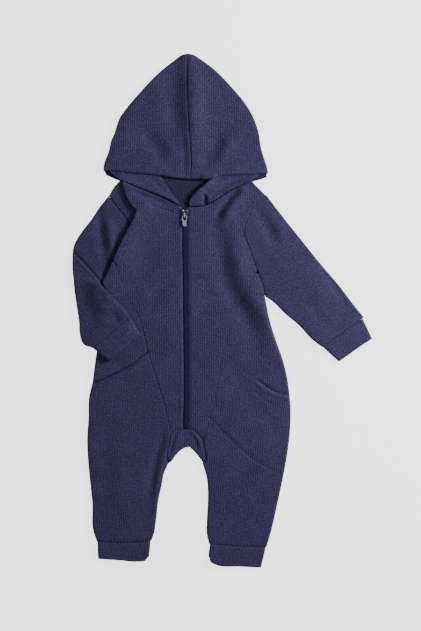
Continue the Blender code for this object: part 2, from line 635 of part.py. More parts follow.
def build_back(seams, cloth):
    """Make the back, from the neck to both ankles, in one piece."""
    shoulder = curve(SHOULDER_LEFT, 2)
    arm = curve(ARMHOLE_LEFT, 3)
    first, last = BACK_ARM_ROWS
    under_arm = np.array([(s.inner_x, s.inner_y) for s in BENT_SLEEVE[first:last]]) + ARM_CLEARANCE
    above = join(shoulder, arm, under_arm)
    outer = join(above, seams["side_left_hidden"], seams["side_left"], seams["leg_left_outer"])
    number = np.arange(len(outer))
    turned = (number < len(shoulder) - 1) | (number >= len(above))
    centre = curve(BACK_CENTRE, BACK_CENTRE_STEPS)
    inner = join(centre, seams["crotch_left"][::-1], seams["leg_left_inner"])
    inner_turn = np.where(number < len(centre), 0.0, 90.0)
    edges = (Edge(angle=np.where(turned, 90.0, 0.0)), Edge(angle=inner_turn, inset=0.0))
    rows = section_rows(outer, inner, NAPE_SEAM_LEFT, ANKLE_SEAM_LEFT)
    left = sheet(rows, back_partner, edges, BACK_STEPS, side=-1)

    shoulder = seams["shoulder_right"]
    above = join(shoulder, seams["arm_right_upper"], seams["arm_right_lower"])
    outer = join(above, seams["side_right"], seams["leg_right_outer"])
    number = np.arange(len(outer))
    turned = (number < len(shoulder) - 1) | (number >= len(above))
    inner = join(centre, seams["crotch_right"], seams["leg_right_inner"])
    inner_turn = np.where(number < len(centre), 0.0, 90.0)
    edges = (Edge(angle=inner_turn, inset=0.0), Edge(angle=np.where(turned, 90.0, 0.0)))
    rows = section_rows(inner, outer, NAPE_SEAM_RIGHT, ANKLE_SEAM_RIGHT)
    right = sheet(rows, back_partner, edges, BACK_STEPS, side=-1)
    wall_object("back", [left, right], cloth)


def build_gusset(seams, cloth):
    """Make the crescent between the legs."""
    sewn = join(seams["gusset_left"][::-1], seams["gusset_top_left"], seams["gusset_top_right"],
                seams["gusset_right"])
    crotch = join(curve(CROTCH_LEFT, 5), curve(CROTCH_RIGHT, 5))
    rows = section_rows(sewn, crotch)
    wall_object("gusset", [sheet(rows, front_top, (seam_edge(2 * SEAM_INSET), Edge(angle=90.0)), 2)], cloth)


def build_shoulder(cloth):
    """Make the outer part of the left shoulder, which shows beside the front's folded edge."""
    rows = section_rows(curve(SHOULDER_LEFT, 4), curve(SHOULDER_UNDER_LIP, 4), None, ARMHOLE_LEFT_HIDDEN)
    edges = (Edge(angle=90.0), seam_edge(0.0))
    wall_object("shoulder_left", [sheet(rows, front_low, edges, 3)], cloth)


def build_sleeves(seams, cloth):
    """Make both sleeves: one straight, one bent at the elbow and laid over the front."""
    outer = np.array([(s.outer_x, s.outer_y) for s in BENT_SLEEVE], float)
    inner = np.array([(s.inner_x, s.inner_y) for s in BENT_SLEEVE], float)
    rows = section_rows(outer, inner, ARMHOLE_LEFT)
    bases = [lifted(section.lift) for section in BENT_SLEEVE]
    wall_object("sleeve_left", [tube(rows, sleeve_loft, SLEEVE_STEPS, bases=bases)], cloth, closed=True)

    armhole = join(seams["arm_right_upper"], seams["arm_right_lower"])
    outer = curve(SLEEVE_RIGHT_OUTER, SLEEVE_ROWS)
    rows = section_rows(outer, curve(SLEEVE_RIGHT_INNER, SLEEVE_ROWS), armhole)
    wall_object("sleeve_right", [tube(rows, sleeve_loft, SLEEVE_STEPS)], cloth, closed=True)


def lifted(share):
    """Return the level under the bent sleeve where it has climbed a share of the way up."""
    return lambda points: share * on_front(points)


def sleeve_loft(points):
    """Thickness of a sleeve as it lies."""
    return LOFT + folds_height(points, SLEEVE_FOLDS)


def cuff_loft(points):
    """Thickness of a cuff or an ankle band as it lies."""
    return np.full(len(points), CUFF_LOFT)


def build_cuffs(cloth):
    """Make the two cuffs and the two ankle bands."""
    last = BENT_SLEEVE[-1]
    outer = curve(((last.outer_x, last.outer_y), CUFF_LEFT_END[0]), CUFF_ROWS)
    inner = curve(((last.inner_x, last.inner_y), CUFF_LEFT_END[-1]), CUFF_ROWS)
    rows = section_rows(outer, inner, None, CUFF_LEFT_END)
    wall_object("cuff_left", [tube(rows, cuff_loft, CUFF_STEPS, base=on_front)], cloth, closed=True)
    for name, ends, seam, end in (
        ("cuff_right", (SLEEVE_RIGHT_OUTER[-1], SLEEVE_RIGHT_INNER[-1]), None, CUFF_RIGHT_END),
        ("ankle_band_left", (ANKLE_SEAM_LEFT[0], ANKLE_SEAM_LEFT[-1]), ANKLE_SEAM_LEFT, BAND_LEFT_END),
        ("ankle_band_right", (ANKLE_SEAM_RIGHT[0], ANKLE_SEAM_RIGHT[-1]), ANKLE_SEAM_RIGHT, BAND_RIGHT_END),
    ):
        outer = curve((ends[0], end[0]), CUFF_ROWS)
        rows = section_rows(outer, curve((ends[1], end[-1]), CUFF_ROWS), seam, end)
        wall_object(name, [tube(rows, cuff_loft, CUFF_STEPS)], cloth, closed=True)


def build_hood(cloth):
    """Make the hood's two halves, folded along the outline, and the lower fronts turned over the neck."""
    hem = Edge(angle=HEM_ANGLE, radius=HEM_RADIUS, steps=2)
    for name, fold, hem_line, nape in (
        ("hood_left", HOOD_FOLD_LEFT, HOOD_HEM_LEFT, NAPE_LEFT),
        ("hood_right", HOOD_FOLD_RIGHT, HOOD_HEM_RIGHT, NAPE_RIGHT),
    ):
        outline = curve(fold, HOOD_ROWS)
        over = section_rows(outline, curve(hem_line, HOOD_ROWS), HOOD_CENTRE)
        under = section_rows(outline, curve(nape, HOOD_ROWS), HOOD_BACK_CENTRE)
        upper = sheet(over, hood_top, (Edge(angle=90.0), hem), HOOD_STEPS)
        lower = sheet(under, hood_top, (Edge(angle=90.0), seam_edge()), HOOD_STEPS, side=-1)
        wrap = [np.concatenate([upper[k][:, ::-1], lower[k]], axis=1) for k in (0, 1)]
        wall_object(name, [wrap], cloth)
    for name, top, low in (
        ("hood_front_left", BAND_TOP_LEFT, BAND_LOW_LEFT),
        ("hood_front_right", BAND_TOP_RIGHT, BAND_LOW_RIGHT),
    ):
        rows = section_rows(curve(top, BAND_ROWS), curve(low, BAND_ROWS))
        wall_object(name, [sheet(rows, band_top, (hem, hem), BAND_STEPS)], cloth)


def build_zip_tapes(finish):
    """Make the zip's two tapes, each with half of the coil along its edge."""
    line = curve(ZIP_LINE, ZIP_ROWS)
    for name, side in (("zip_tape_left", -1.0), ("zip_tape_right", 1.0)):
        outer = np.zeros((len(line), len(TAPE_PROFILE), 3))
        for column, (offset, height) in enumerate(TAPE_PROFILE):
            outer[:, column, :2] = line + np.array([side * offset, 0.0])
            outer[:, column, 2] = height
        inner = outer.copy()
        inner[..., 2] = TAPE_FLOOR
        wall_object(name, [(outer, inner)], finish)


def prism(name, outline, low, high, finish, bevel=0.0, hole=None):
    """Make a plate from an outline of (x, y) points, with a bevelled rim and a hole if one is given."""
    rings = [outline] if hole is None else [outline, hole]
    vertices = [(x, y, z) for ring in rings for z in (low, high) for x, y in ring]
    count = len(outline)
    faces = []
    for ring in range(len(rings)):
        base = ring * 2 * count
        for i in range(count):
            j = (i + 1) % count
            faces.append((base + i, base + j, base + count + j, base + count + i))
    if hole is None:
        faces.append(tuple(range(count)))
        faces.append(tuple(range(count, 2 * count)))
    else:
        for i in range(count):
            j = (i + 1) % count
            for level in (0, count):
                faces.append((level + i, level + j, 2 * count + level + j, 2 * count + level + i))
    made = add_object(name, vertices, faces, finish)
    if bevel:
        rounding = made.modifiers.new("rounding", "BEVEL")
        rounding.width = bevel * MM
        rounding.segments = 2
        rounding.limit_method = "ANGLE"
        rounding.angle_limit = math.radians(BEVEL_ANGLE)
    return made


def united(target, tool):
    """Unite a second shape with an object and take the second one away."""
    for item in (target, tool):
        bpy.context.view_layer.update()
        shaped = bpy.data.meshes.new_from_object(item.evaluated_get(bpy.context.evaluated_depsgraph_get()))
        item.modifiers.clear()
        item.data = shaped
    bpy.context.view_layer.update()
    union = target.modifiers.new("union", "BOOLEAN")
    union.operation = "UNION"
    union.solver = "EXACT"
    union.object = tool
    bpy.context.view_layer.update()
    shaped = bpy.data.meshes.new_from_object(target.evaluated_get(bpy.context.evaluated_depsgraph_get()))
    target.modifiers.clear()
    target.data = shaped
    bpy.data.objects.remove(tool, do_unlink=True)


def mirrored(half_outline, at=(0.0, 0.0)):
    """Return a symmetric outline about a centre from its half at +x; a point on the axis is kept once."""
    other = [(-x, y) for x, y in reversed(half_outline) if x > 0]
    return [(at[0] + x, at[1] + y) for x, y in list(half_outline) + other]


def bail_arc(x, half_length, height):
    """Return the points of one edge of the bail, from its upper foot to its lower one."""
    foot = PLATE_TOP - BAIL_ROOT
    points = []
    for turn in np.linspace(0.0, math.pi, BAIL_STEPS + 1):
        along = math.copysign(abs(math.cos(turn)) ** BAIL_SQUARENESS, math.cos(turn))
        rise = abs(math.sin(turn)) ** BAIL_SQUARENESS
        points.append((SLIDER_X + x, BAIL_Y + half_length * along, foot + (height + BAIL_ROOT) * rise))
    return points


def build_slider(finish):
    """Make the zip's slider: a shouldered plate with a keel on the coil and a bail over it."""
    centre = (SLIDER_X, SLIDER_Y)
    outline = mirrored(SLIDER_HALF_OUTLINE, centre)
    slider = prism("zip_slider", outline, PLATE_LOW, PLATE_TOP, finish, PLATE_BEVEL)
    half_keel = ((KEEL_HALF_WIDTH, -KEEL_HALF_LENGTH), (KEEL_HALF_WIDTH, KEEL_HALF_LENGTH))
    keel = prism("keel", mirrored(half_keel, centre), PLATE_LOW - KEEL_DEPTH, PLATE_LOW + BAIL_ROOT, finish)
    united(slider, keel)
    vertices = []
    for x in (-BAIL_WIDTH / 2, BAIL_WIDTH / 2):
        vertices += bail_arc(x, BAIL_HALF_LENGTH, BAIL_HEIGHT)
        vertices += bail_arc(x, BAIL_HALF_LENGTH - BAIL_THICKNESS, BAIL_HEIGHT - BAIL_THICKNESS)
    ring = BAIL_STEPS + 1
    faces = [(0, ring, 3 * ring, 2 * ring)]
    faces.append((ring - 1, 2 * ring - 1, 4 * ring - 1, 3 * ring - 1))
    for i in range(BAIL_STEPS):
        for side in (0, 2 * ring):
            faces.append((side + i, side + i + 1, side + ring + i + 1, side + ring + i))
        for arc in (0, ring):
            faces.append((arc + i, arc + i + 1, 2 * ring + arc + i + 1, 2 * ring + arc + i))
    united(slider, add_object("bail", vertices, faces, finish))


def build_pull(finish):
    """Make the pull tab about its crossbar, which lies under the bail; it points down the zip."""
    half = PULL_THICKNESS / 2
    outline = mirrored(PULL_HALF_OUTLINE)
    hole = mirrored(PULL_HALF_SLOT)
    pull = prism("zip_pull", outline, -half, half, finish, PULL_BEVEL, hole)
    pull.location = Vector((SLIDER_X, PULL_AXIS_Y, PULL_AXIS_Z)) * MM


def main():
    """Build the romper."""
    for item in list(bpy.data.objects):
        bpy.data.objects.remove(item, do_unlink=True)
    cloth = material("waffle_knit", (0.048, 0.045, 0.122), 0.9)
    tape = material("zip_tape", (0.012, 0.010, 0.045), 0.7)
    metal = material("painted_zip_metal", (0.30, 0.28, 0.45), 0.35, 0.6)
    seams = shared_seams()
    build_back(seams, cloth)
    build_fronts(seams, cloth)
    build_sides(seams, cloth)
    build_legs(seams, cloth)
    build_gusset(seams, cloth)
    build_shoulder(cloth)
    build_sleeves(seams, cloth)
    build_cuffs(cloth)
    build_hood(cloth)
    build_zip_tapes(tape)
    build_slider(metal)
    build_pull(metal)


main()
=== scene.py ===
"""Looks of a baby hooded romper in waffle knit, laid flat with its hood up and one sleeve bent.

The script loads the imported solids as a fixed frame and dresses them: each cloth piece is a fine
knit shell on its solid's form, with its creases, hems and seams, and the zip gets its coil,
its sewing and its enamel. Table sizes are millimetres in the frame's own axes.
"""
import logging
import math
from dataclasses import dataclass
from enum import Enum
from typing import Callable, Sequence

import bpy
import numpy as np
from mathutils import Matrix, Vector


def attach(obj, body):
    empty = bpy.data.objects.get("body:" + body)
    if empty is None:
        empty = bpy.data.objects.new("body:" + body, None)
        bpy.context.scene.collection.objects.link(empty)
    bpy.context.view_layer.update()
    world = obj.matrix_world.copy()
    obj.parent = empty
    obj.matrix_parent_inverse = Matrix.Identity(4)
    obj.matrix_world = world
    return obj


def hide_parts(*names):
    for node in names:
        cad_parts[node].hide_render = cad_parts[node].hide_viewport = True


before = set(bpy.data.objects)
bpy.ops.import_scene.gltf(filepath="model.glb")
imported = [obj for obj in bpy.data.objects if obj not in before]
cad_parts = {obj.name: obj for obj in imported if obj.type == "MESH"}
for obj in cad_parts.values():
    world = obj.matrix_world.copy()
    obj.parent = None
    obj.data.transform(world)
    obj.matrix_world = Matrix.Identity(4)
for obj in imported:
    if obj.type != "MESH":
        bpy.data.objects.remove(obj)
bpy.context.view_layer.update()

Array = np.ndarray
Path = Sequence[tuple[float, float]]
Height = Callable[[Array], Array]

log = logging.getLogger("romper")

MM = 0.001
BODY = "romper"
# Millimetres: the knit's thickness and the front's height over the floor.
KNIT = 2.0
LOFT = 7.0
# The gap under cloth that lies on cloth, the laps at seams and at bands, half the left pocket's open
# mouth, and how far a turned edge stands out from its plan.
LAY_GAP = 0.9
SEAM_LAP = 0.1
BAND_LAP = 0.03
POCKET_GAP = 0.45
EDGE_OUTSET = 1.5
# Points tried for each knot of a curve, and the distance within which two stretches meet.
SAMPLES = 40
MEETING = 0.5
# The share of a fold's length over which it fades, and slack knit's waves: rates along x and y, phase.
FADE = 0.3
SLACK_WAVES = ((0.11, 0.05, 0.3), (-0.06, 0.13, 1.9), (0.17, -0.09, 4.1), (0.05, 0.21, 2.6),
               (0.23, 0.14, 5.2))
# How much closer a wall's columns lie to its edges, and how far an unturned edge eases out: at most
# this, and at most this share of the section.
CROWDING = 0.11
EASE_RUN = 5.0
EASE_SHARE = 0.3


# ---- outlines and seams
HOOD_PEAK = (-50, 371.5)
HOOD_FOLD_LEFT = (HOOD_PEAK, (-58, 369.5), (-68, 362.5), (-90, 345), (-119, 315), (-136, 295), (-148, 278),
    (-156, 255), (-160.7, 243.5), (-163.3, 231), (-170, 211), (-170.5, 203))
HOOD_FOLD_RIGHT = (HOOD_PEAK, (-42, 370), (-32, 364), (-14, 351), (12, 325), (39.6, 289.6), (47.8, 272.6),
    (52.4, 258.4), (56, 236), (62, 215), (64.4, 207), (65.4, 200))
HOOD_CENTRE = (HOOD_PEAK, (-51, 335), (-50, 306), (-48, 265), (-46, 240), (-45, 219), (-46, 191))
HOOD_BACK_CENTRE = (HOOD_PEAK, (-51, 280), (-54, 178))
HOOD_HEM_LEFT = ((-46, 191), (-61, 192), (-90, 196), (-119, 199), (-148, 202), (-163, 204))
HOOD_HEM_RIGHT = ((-46, 191), (-14, 192), (-3, 195), (22, 197), (44, 198), (58, 199))
NAPE_LEFT = ((-54, 177), (-90, 180), (-120, 184), (-147, 188), (-159, 192.8), (-168, 197))
NAPE_RIGHT = ((-54, 177), (-17, 180), (15, 183), (42, 187), (55, 190.3), (64.2, 193.4))
BAND_TOP_LEFT = ((-166, 205), (-120, 207), (-100, 204), (-88, 194), (-81, 183), (-72, 169), (-63, 159))
BAND_LOW_LEFT = ((-148, 190), (-119, 178), (-90, 167), (-75, 160), (-61, 152))
BAND_TOP_RIGHT = ((60, 201), (20, 205), (-8, 201), (-17, 191), (-32, 178), (-43, 168), (-48, 159))
BAND_LOW_RIGHT = ((42, 189), (14, 176), (-10, 161), (-28, 153), (-46, 151))
NECK_LEFT = ((-144, 188), (-119, 177), (-90, 166), (-75, 159), (-58, 151))
NECK_RIGHT = ((-50, 151), (-28, 152), (-10, 160), (14, 175), (42, 188))
NAPE_SEAM_LEFT = NAPE_LEFT[3::-1]
NAPE_SEAM_RIGHT = NAPE_RIGHT[:4]
SHOULDER_LEFT = ((-147, 188), (-155, 179), (-163, 166))
SHOULDER_UNDER_LIP = ((-140, 185), (-137, 173), (-132, 161), (-121, 150), (-123, 138), (-128, 124))
ARMHOLE_LEFT = ((-163, 166), (-155, 155), (-146, 144), (-134, 130))
ARMHOLE_LEFT_HIDDEN = (*ARMHOLE_LEFT, (-128, 124))
POCKET_LEFT = ((-186.3, -104), (-177, -101), (-162, -94), (-148, -87), (-133, -79), (-119, -68),
    (-107, -60))
POCKET_RIGHT = ((1, -59), (38, -91), (54, -102), (65, -110), (75, -117), (86, -121), (96, -122))
ZIP_LINE = ((-54, 150), (-54, 110), (-53, 16), (-52, -129), (-53, -171))
GUSSET_TOP_LEFT = ((-74, -175), (-66, -172), (-57, -171))
GUSSET_TOP_RIGHT = ((-49, -171), (-43, -172), (-36, -177), (-31, -183), (-28, -187))
CROTCH_LEFT = ((-75, -218), (-65, -205.2), (-56.3, -198), (-47, -195.4))
CROTCH_RIGHT = ((-47, -195.4), (-40, -202), (-30, -214), (-27, -218))
BACK_CENTRE = ((-54, 177), (-53, 60), (-51, -80), (-47, -195))
ANKLE_SEAM_LEFT = ((-180, -334), (-142, -336), (-104, -333))
ANKLE_SEAM_RIGHT = ((-17, -338), (22, -341), (63, -342))
SLEEVE_RIGHT_OUTER = ((64, 167), (93.5, 128.4), (113, 104), (140, 70), (171.5, 32.5), (189.5, 8.6),
    (204.4, -9.8))
SLEEVE_RIGHT_INNER = ((63, 22), (72, 16), (92, -3), (113, -20.6), (132.3, -41), (146, -51.3))
CUFF_RIGHT_START = (203.2, -11)
CUFF_RIGHT_END = ((216.3, -41), (201.2, -50.8), (187.2, -60.8), (170.5, -72.5))
CUFF_LEFT_END = ((-162, -72), (-149, -62), (-129, -42), (-120, -35))
BAND_LEFT_END = ((-178, -359), (-150, -361), (-122, -362.8), (-111, -361.5), (-107, -356))
BAND_RIGHT_END = ((-18.5, -356.5), (-16.8, -363), (-8, -367.8), (24, -370), (55, -371.5))

# Seams that two pieces share: the number of sections along each, then its points.
SEAMS: dict[str, tuple[int, Path]] = {
    "lip_upper": (4, ((-144, 188), (-142, 175), (-138, 164), (-131, 153), (-124, 147))),
    "lip_middle": (5, ((-124, 147), (-128, 136), (-136, 120), (-145, 103), (-152, 88), (-158, 75))),
    "lip_lower": (3, ((-158, 75), (-165, 59), (-174, 42))),
    "side_left_hidden": (5, ((-174, 42), (-168, 24), (-167, 0), (-171, -30), (-180, -58))),
    "side_left": (2, ((-180, -58), (-182.6, -75), (-186.3, -104))),
    "leg_left_outer": (13, ((-186.3, -104), (-191.2, -125), (-192.2, -157), (-194, -186), (-191.9, -226),
        (-189.1, -254), (-186.6, -278), (-185.4, -317), (-180, -334))),
    "shoulder_right": (2, ((42, 188), (47, 182), (64, 167))),
    "arm_right_upper": (7, ((64, 167), (58, 161), (44, 149), (38, 136), (32, 116), (33, 106), (39, 93),
        (44, 78), (51, 59))),
    "arm_right_lower": (2, ((51, 59), (56, 45), (60, 33), (62, 22))),
    "side_right": (8, ((62, 22), (64.5, 1), (67.6, -13), (77.6, -45), (87, -72), (94.3, -104),
        (96.6, -122))),
    "leg_right_outer": (13, ((96.6, -122), (98, -140), (98, -160), (95.2, -193), (91.4, -218), (85, -251),
        (80, -274), (74.6, -299), (69, -322), (63, -342))),
    "princess_left_upper": (10, ((-158, 75), (-154, 67), (-146, 44), (-137, 23), (-128, 5), (-120, -9),
        (-113, -33), (-107, -60))),
    "princess_left_lower": (6, ((-107, -60), (-101, -80), (-94, -102), (-88, -120), (-80, -151),
        (-74, -175))),
    "princess_right_upper": (10, ((51, 59), (43, 44), (32, 23), (22, 5), (15, -9), (8, -33), (1, -59))),
    "princess_right_lower": (6, ((1, -59), (-4, -90), (-8, -112), (-11, -135), (-17, -152), (-23, -173),
        (-28, -187))),
    "gusset_left": (2, ((-74, -175), (-76, -190), (-79, -203), (-80, -214))),
    "gusset_right": (2, ((-28, -187), (-26, -197), (-24, -206), (-23, -215))),
    "gusset_top_left": (2, GUSSET_TOP_LEFT),
    "gusset_top_right": (3, GUSSET_TOP_RIGHT),
    "crotch_left": (4, CROTCH_LEFT),
    "crotch_right": (5, CROTCH_RIGHT),
    "leg_left_inner": (4, ((-79, -221.5), (-85.2, -235.6), (-89, -254), (-93.4, -274), (-96.8, -303),
        (-99.8, -322), (-104, -333))),
    "leg_right_inner": (4, ((-27, -221.5), (-20.8, -243), (-19.3, -258), (-19.2, -278), (-20.6, -303),
        (-20.4, -325), (-17, -338))),
}

# The bent sleeve's sections: outer x and y, inner x and y, and how much of its climb onto the front is done.
BENT_SLEEVE = (
    (-164, 165, -136, 130, 0.0),
    (-176, 150, -135, 117, 0.0),
    (-188, 132, -136, 104, 0.0),
    (-199, 118, -143, 91, 0.0),
    (-208, 105, -152, 77, 0.0),
    (-214, 92, -160, 62, 0.0),
    (-215.5, 77, -168, 49, 0.0),
    (-215.5, 61, -177, 43, 0.15),
    (-214, 45, -174, 36, 0.75),
    (-212, 26, -165, 26, 1.0),
    (-209, 6, -156, 16, 1.0),
    (-206, -14, -148, 8, 1.0),
    (-204.8, -32.6, -142, 1, 1.0),
    (-199.4, -47.4, -137, -5, 1.0),
    (-186, -52.4, -134, -9, 1.0),
)
# The back's side follows the sleeve's inner edge over these of its rows, this far from it.
BACK_ARM_ROWS = (2, 7)
ARM_CLEARANCE = (0.7, -0.3)


# ---- curves
def ease(value: Array) -> Array:
    """Return the smooth step from 0 to 1: three squares less two cubes."""
    t = np.clip(value, 0.0, 1.0)
    return t * t * (3 - 2 * t)


def resample(line: Array, steps: int) -> Array:
    """Space points evenly along a polyline.

    Args:
        line: points, one a row.
        steps: number of equal stretches.

    Returns:
        steps + 1 points.
    """
    lengths = np.concatenate(([0.0], np.cumsum(np.linalg.norm(np.diff(line, axis=0), axis=1))))
    at = np.linspace(0.0, lengths[-1], steps + 1)
    return np.stack([np.interp(at, lengths, line[:, i]) for i in range(line.shape[1])], axis=1)


def hermite(knots: Array, slopes: Array, k: Array, t: Array, run: Array | float = 1.0) -> Array:
    """Return points of cubic Hermite pieces.

    Args:
        knots: the curve's knots, one a row.
        slopes: its slopes there.
        k: the piece that each point lies on.
        t: how far along its piece the point lies, from 0 to 1.
        run: the pieces' lengths.

    Returns:
        The points.
    """
    first = (1 + 2 * t) * (1 - t) ** 2 * knots[k] + t * (1 - t) ** 2 * run * slopes[k]
    second = t * t * (3 - 2 * t) * knots[k + 1] + t * t * (t - 1) * run * slopes[k + 1]
    return first + second


def smooth_line(points: Path, steps: int = 40) -> Array:
    """Draw a smooth curve through points: cubic Hermite pieces whose slopes are central differences.

    Args:
        points: knots of the curve.
        steps: number of equal stretches.

    Returns:
        steps + 1 points at equal distances along the curve.
    """
    knots = np.array(points, float)
    chords = np.linalg.norm(np.diff(knots, axis=0), axis=1)
    reach = np.concatenate(([0.0], np.cumsum(chords)))
    slopes = np.gradient(knots, reach, axis=0)
    at = np.linspace(0.0, reach[-1], SAMPLES * len(knots))
    k = np.clip(np.searchsorted(reach, at, side="right") - 1, 0, len(chords) - 1)
    t = ((at - reach[k]) / chords[k])[:, None]
    return resample(hermite(knots, slopes, k, t, chords[k][:, None]), steps)


def through_rows(table: Sequence[Sequence[float]], fine: int) -> Array:
    """Refine a table: each column becomes a cubic Hermite curve over its row number.

    Args:
        table: rows of numbers.
        fine: new rows for each old one.

    Returns:
        fine * (rows - 1) + 1 rows.
    """
    knots = np.array(table, float)
    slopes = np.gradient(knots, axis=0)
    at = np.arange(fine * (len(knots) - 1) + 1) / fine
    k = np.minimum(at.astype(int), len(knots) - 2)
    t = (at - k)[:, None]
    return hermite(knots, slopes, k, t)


def join(*stretches: Array) -> Array:
    """Join stretches end to end.

    Args:
        stretches: points, one a row; where two stretches meet, the shared point is kept once.

    Returns:
        The whole line.
    """
    parts = [stretches[0]]
    for stretch in stretches[1:]:
        same = np.linalg.norm(stretch[0] - parts[-1][-1]) < MEETING
        parts.append(stretch[1:] if same else stretch)
    return np.concatenate(parts)


def seam(fine: int, *names: str) -> Array:
    """Return shared seams as one line, with fine points for each of their sections."""
    return join(*(smooth_line(SEAMS[name][1], SEAMS[name][0] * fine) for name in names))


def bridge(upper: Array, lower: Array, fine: int) -> Array:
    """Join two lines that don't meet, with one straight section between them."""
    return join(upper, resample(np.array([upper[-1], lower[0]]), fine), lower)


def sections(line: Array, fine: int) -> Array:
    """Number a line's coarse sections."""
    return np.arange((len(line) - 1) // fine + 1)


def headings(path: Array) -> tuple[Array, Array]:
    """Find a plane path's directions by central differences.

    Args:
        path: (n, 2) points.

    Returns:
        Unit vectors along the path, and square to it, to its left.
    """
    ahead = np.gradient(path, axis=0)
    ahead /= np.linalg.norm(ahead, axis=1)[:, None]
    return ahead, np.stack([-ahead[:, 1], ahead[:, 0]], axis=1)


def path_distance(points: Array, path: Path) -> tuple[Array, Array]:
    """Measure how far points lie from a path.

    Each point is dropped square onto every stretch, held within its ends, and the nearest foot counts.

    Args:
        points: (n, 2) points.
        path: knots of the path.

    Returns:
        The distances, and how far along the path each foot is, from 0 to 1.
    """
    knots = np.array(path, float)
    runs = np.diff(knots, axis=0)
    lengths = np.linalg.norm(runs, axis=1)
    before = np.concatenate(([0.0], np.cumsum(lengths)))[:-1]
    offset = points[:, None, :] - knots[None, :-1]
    t = np.clip((offset * runs).sum(2) / lengths ** 2, 0.0, 1.0)
    gap = np.linalg.norm(offset - t[..., None] * runs, axis=2)
    nearest = gap.argmin(1)
    rows = np.arange(len(points))
    return gap[rows, nearest], (before[nearest] + t[rows, nearest] * lengths[nearest]) / lengths.sum()


# ---- how the cloth lies
@dataclass(frozen=True)
class Fold:
    """A soft ridge in the cloth, or with a height below zero a trough, along a path."""

    path: Path
    width: float
    height: float
    start: float = 0.0
    end: float = 0.0

    def lift(self, points: Array) -> Array:
        """Work out the rise: a bell curve across the path that fades in and out along it.

        Args:
            points: (n, 2) points.

        Returns:
            The rise at each point.
        """
        gap, along = path_distance(points, self.path)
        fade_in = self.start + (1 - self.start) * ease(along / FADE)
        fade_out = self.end + (1 - self.end) * ease((1 - along) / FADE)
        return self.height * np.exp(-(gap / self.width) ** 2) * fade_in * fade_out


@dataclass(frozen=True)
class Lay:
    """How high a layer of cloth lies: a level, its folds, and the slight waves of slack knit."""

    level: float
    folds: tuple[Fold, ...] = ()
    slack: float = 0.0

    def __call__(self, points: Array) -> Array:
        """Work out the height: the level, plus every fold, plus five crossed sine waves.

        Args:
            points: points in a grid of any shape.

        Returns:
            The height at each point.
        """
        flat = points.reshape(-1, 2)
        total = np.full(len(flat), self.level)
        for fold in self.folds:
            total += fold.lift(flat)
        if self.slack:
            for k, (kx, ky, phase) in enumerate(SLACK_WAVES):
                total += self.slack / (k + 2) * np.sin(kx * flat[:, 0] + ky * flat[:, 1] + phase)
        return total.reshape(points.shape[:-1])


def folds(*rows: tuple) -> tuple[Fold, ...]:
    """Make folds of rows: path, width and height, then how much of it stands at its start and at its end."""
    return tuple(Fold(*row) for row in rows)


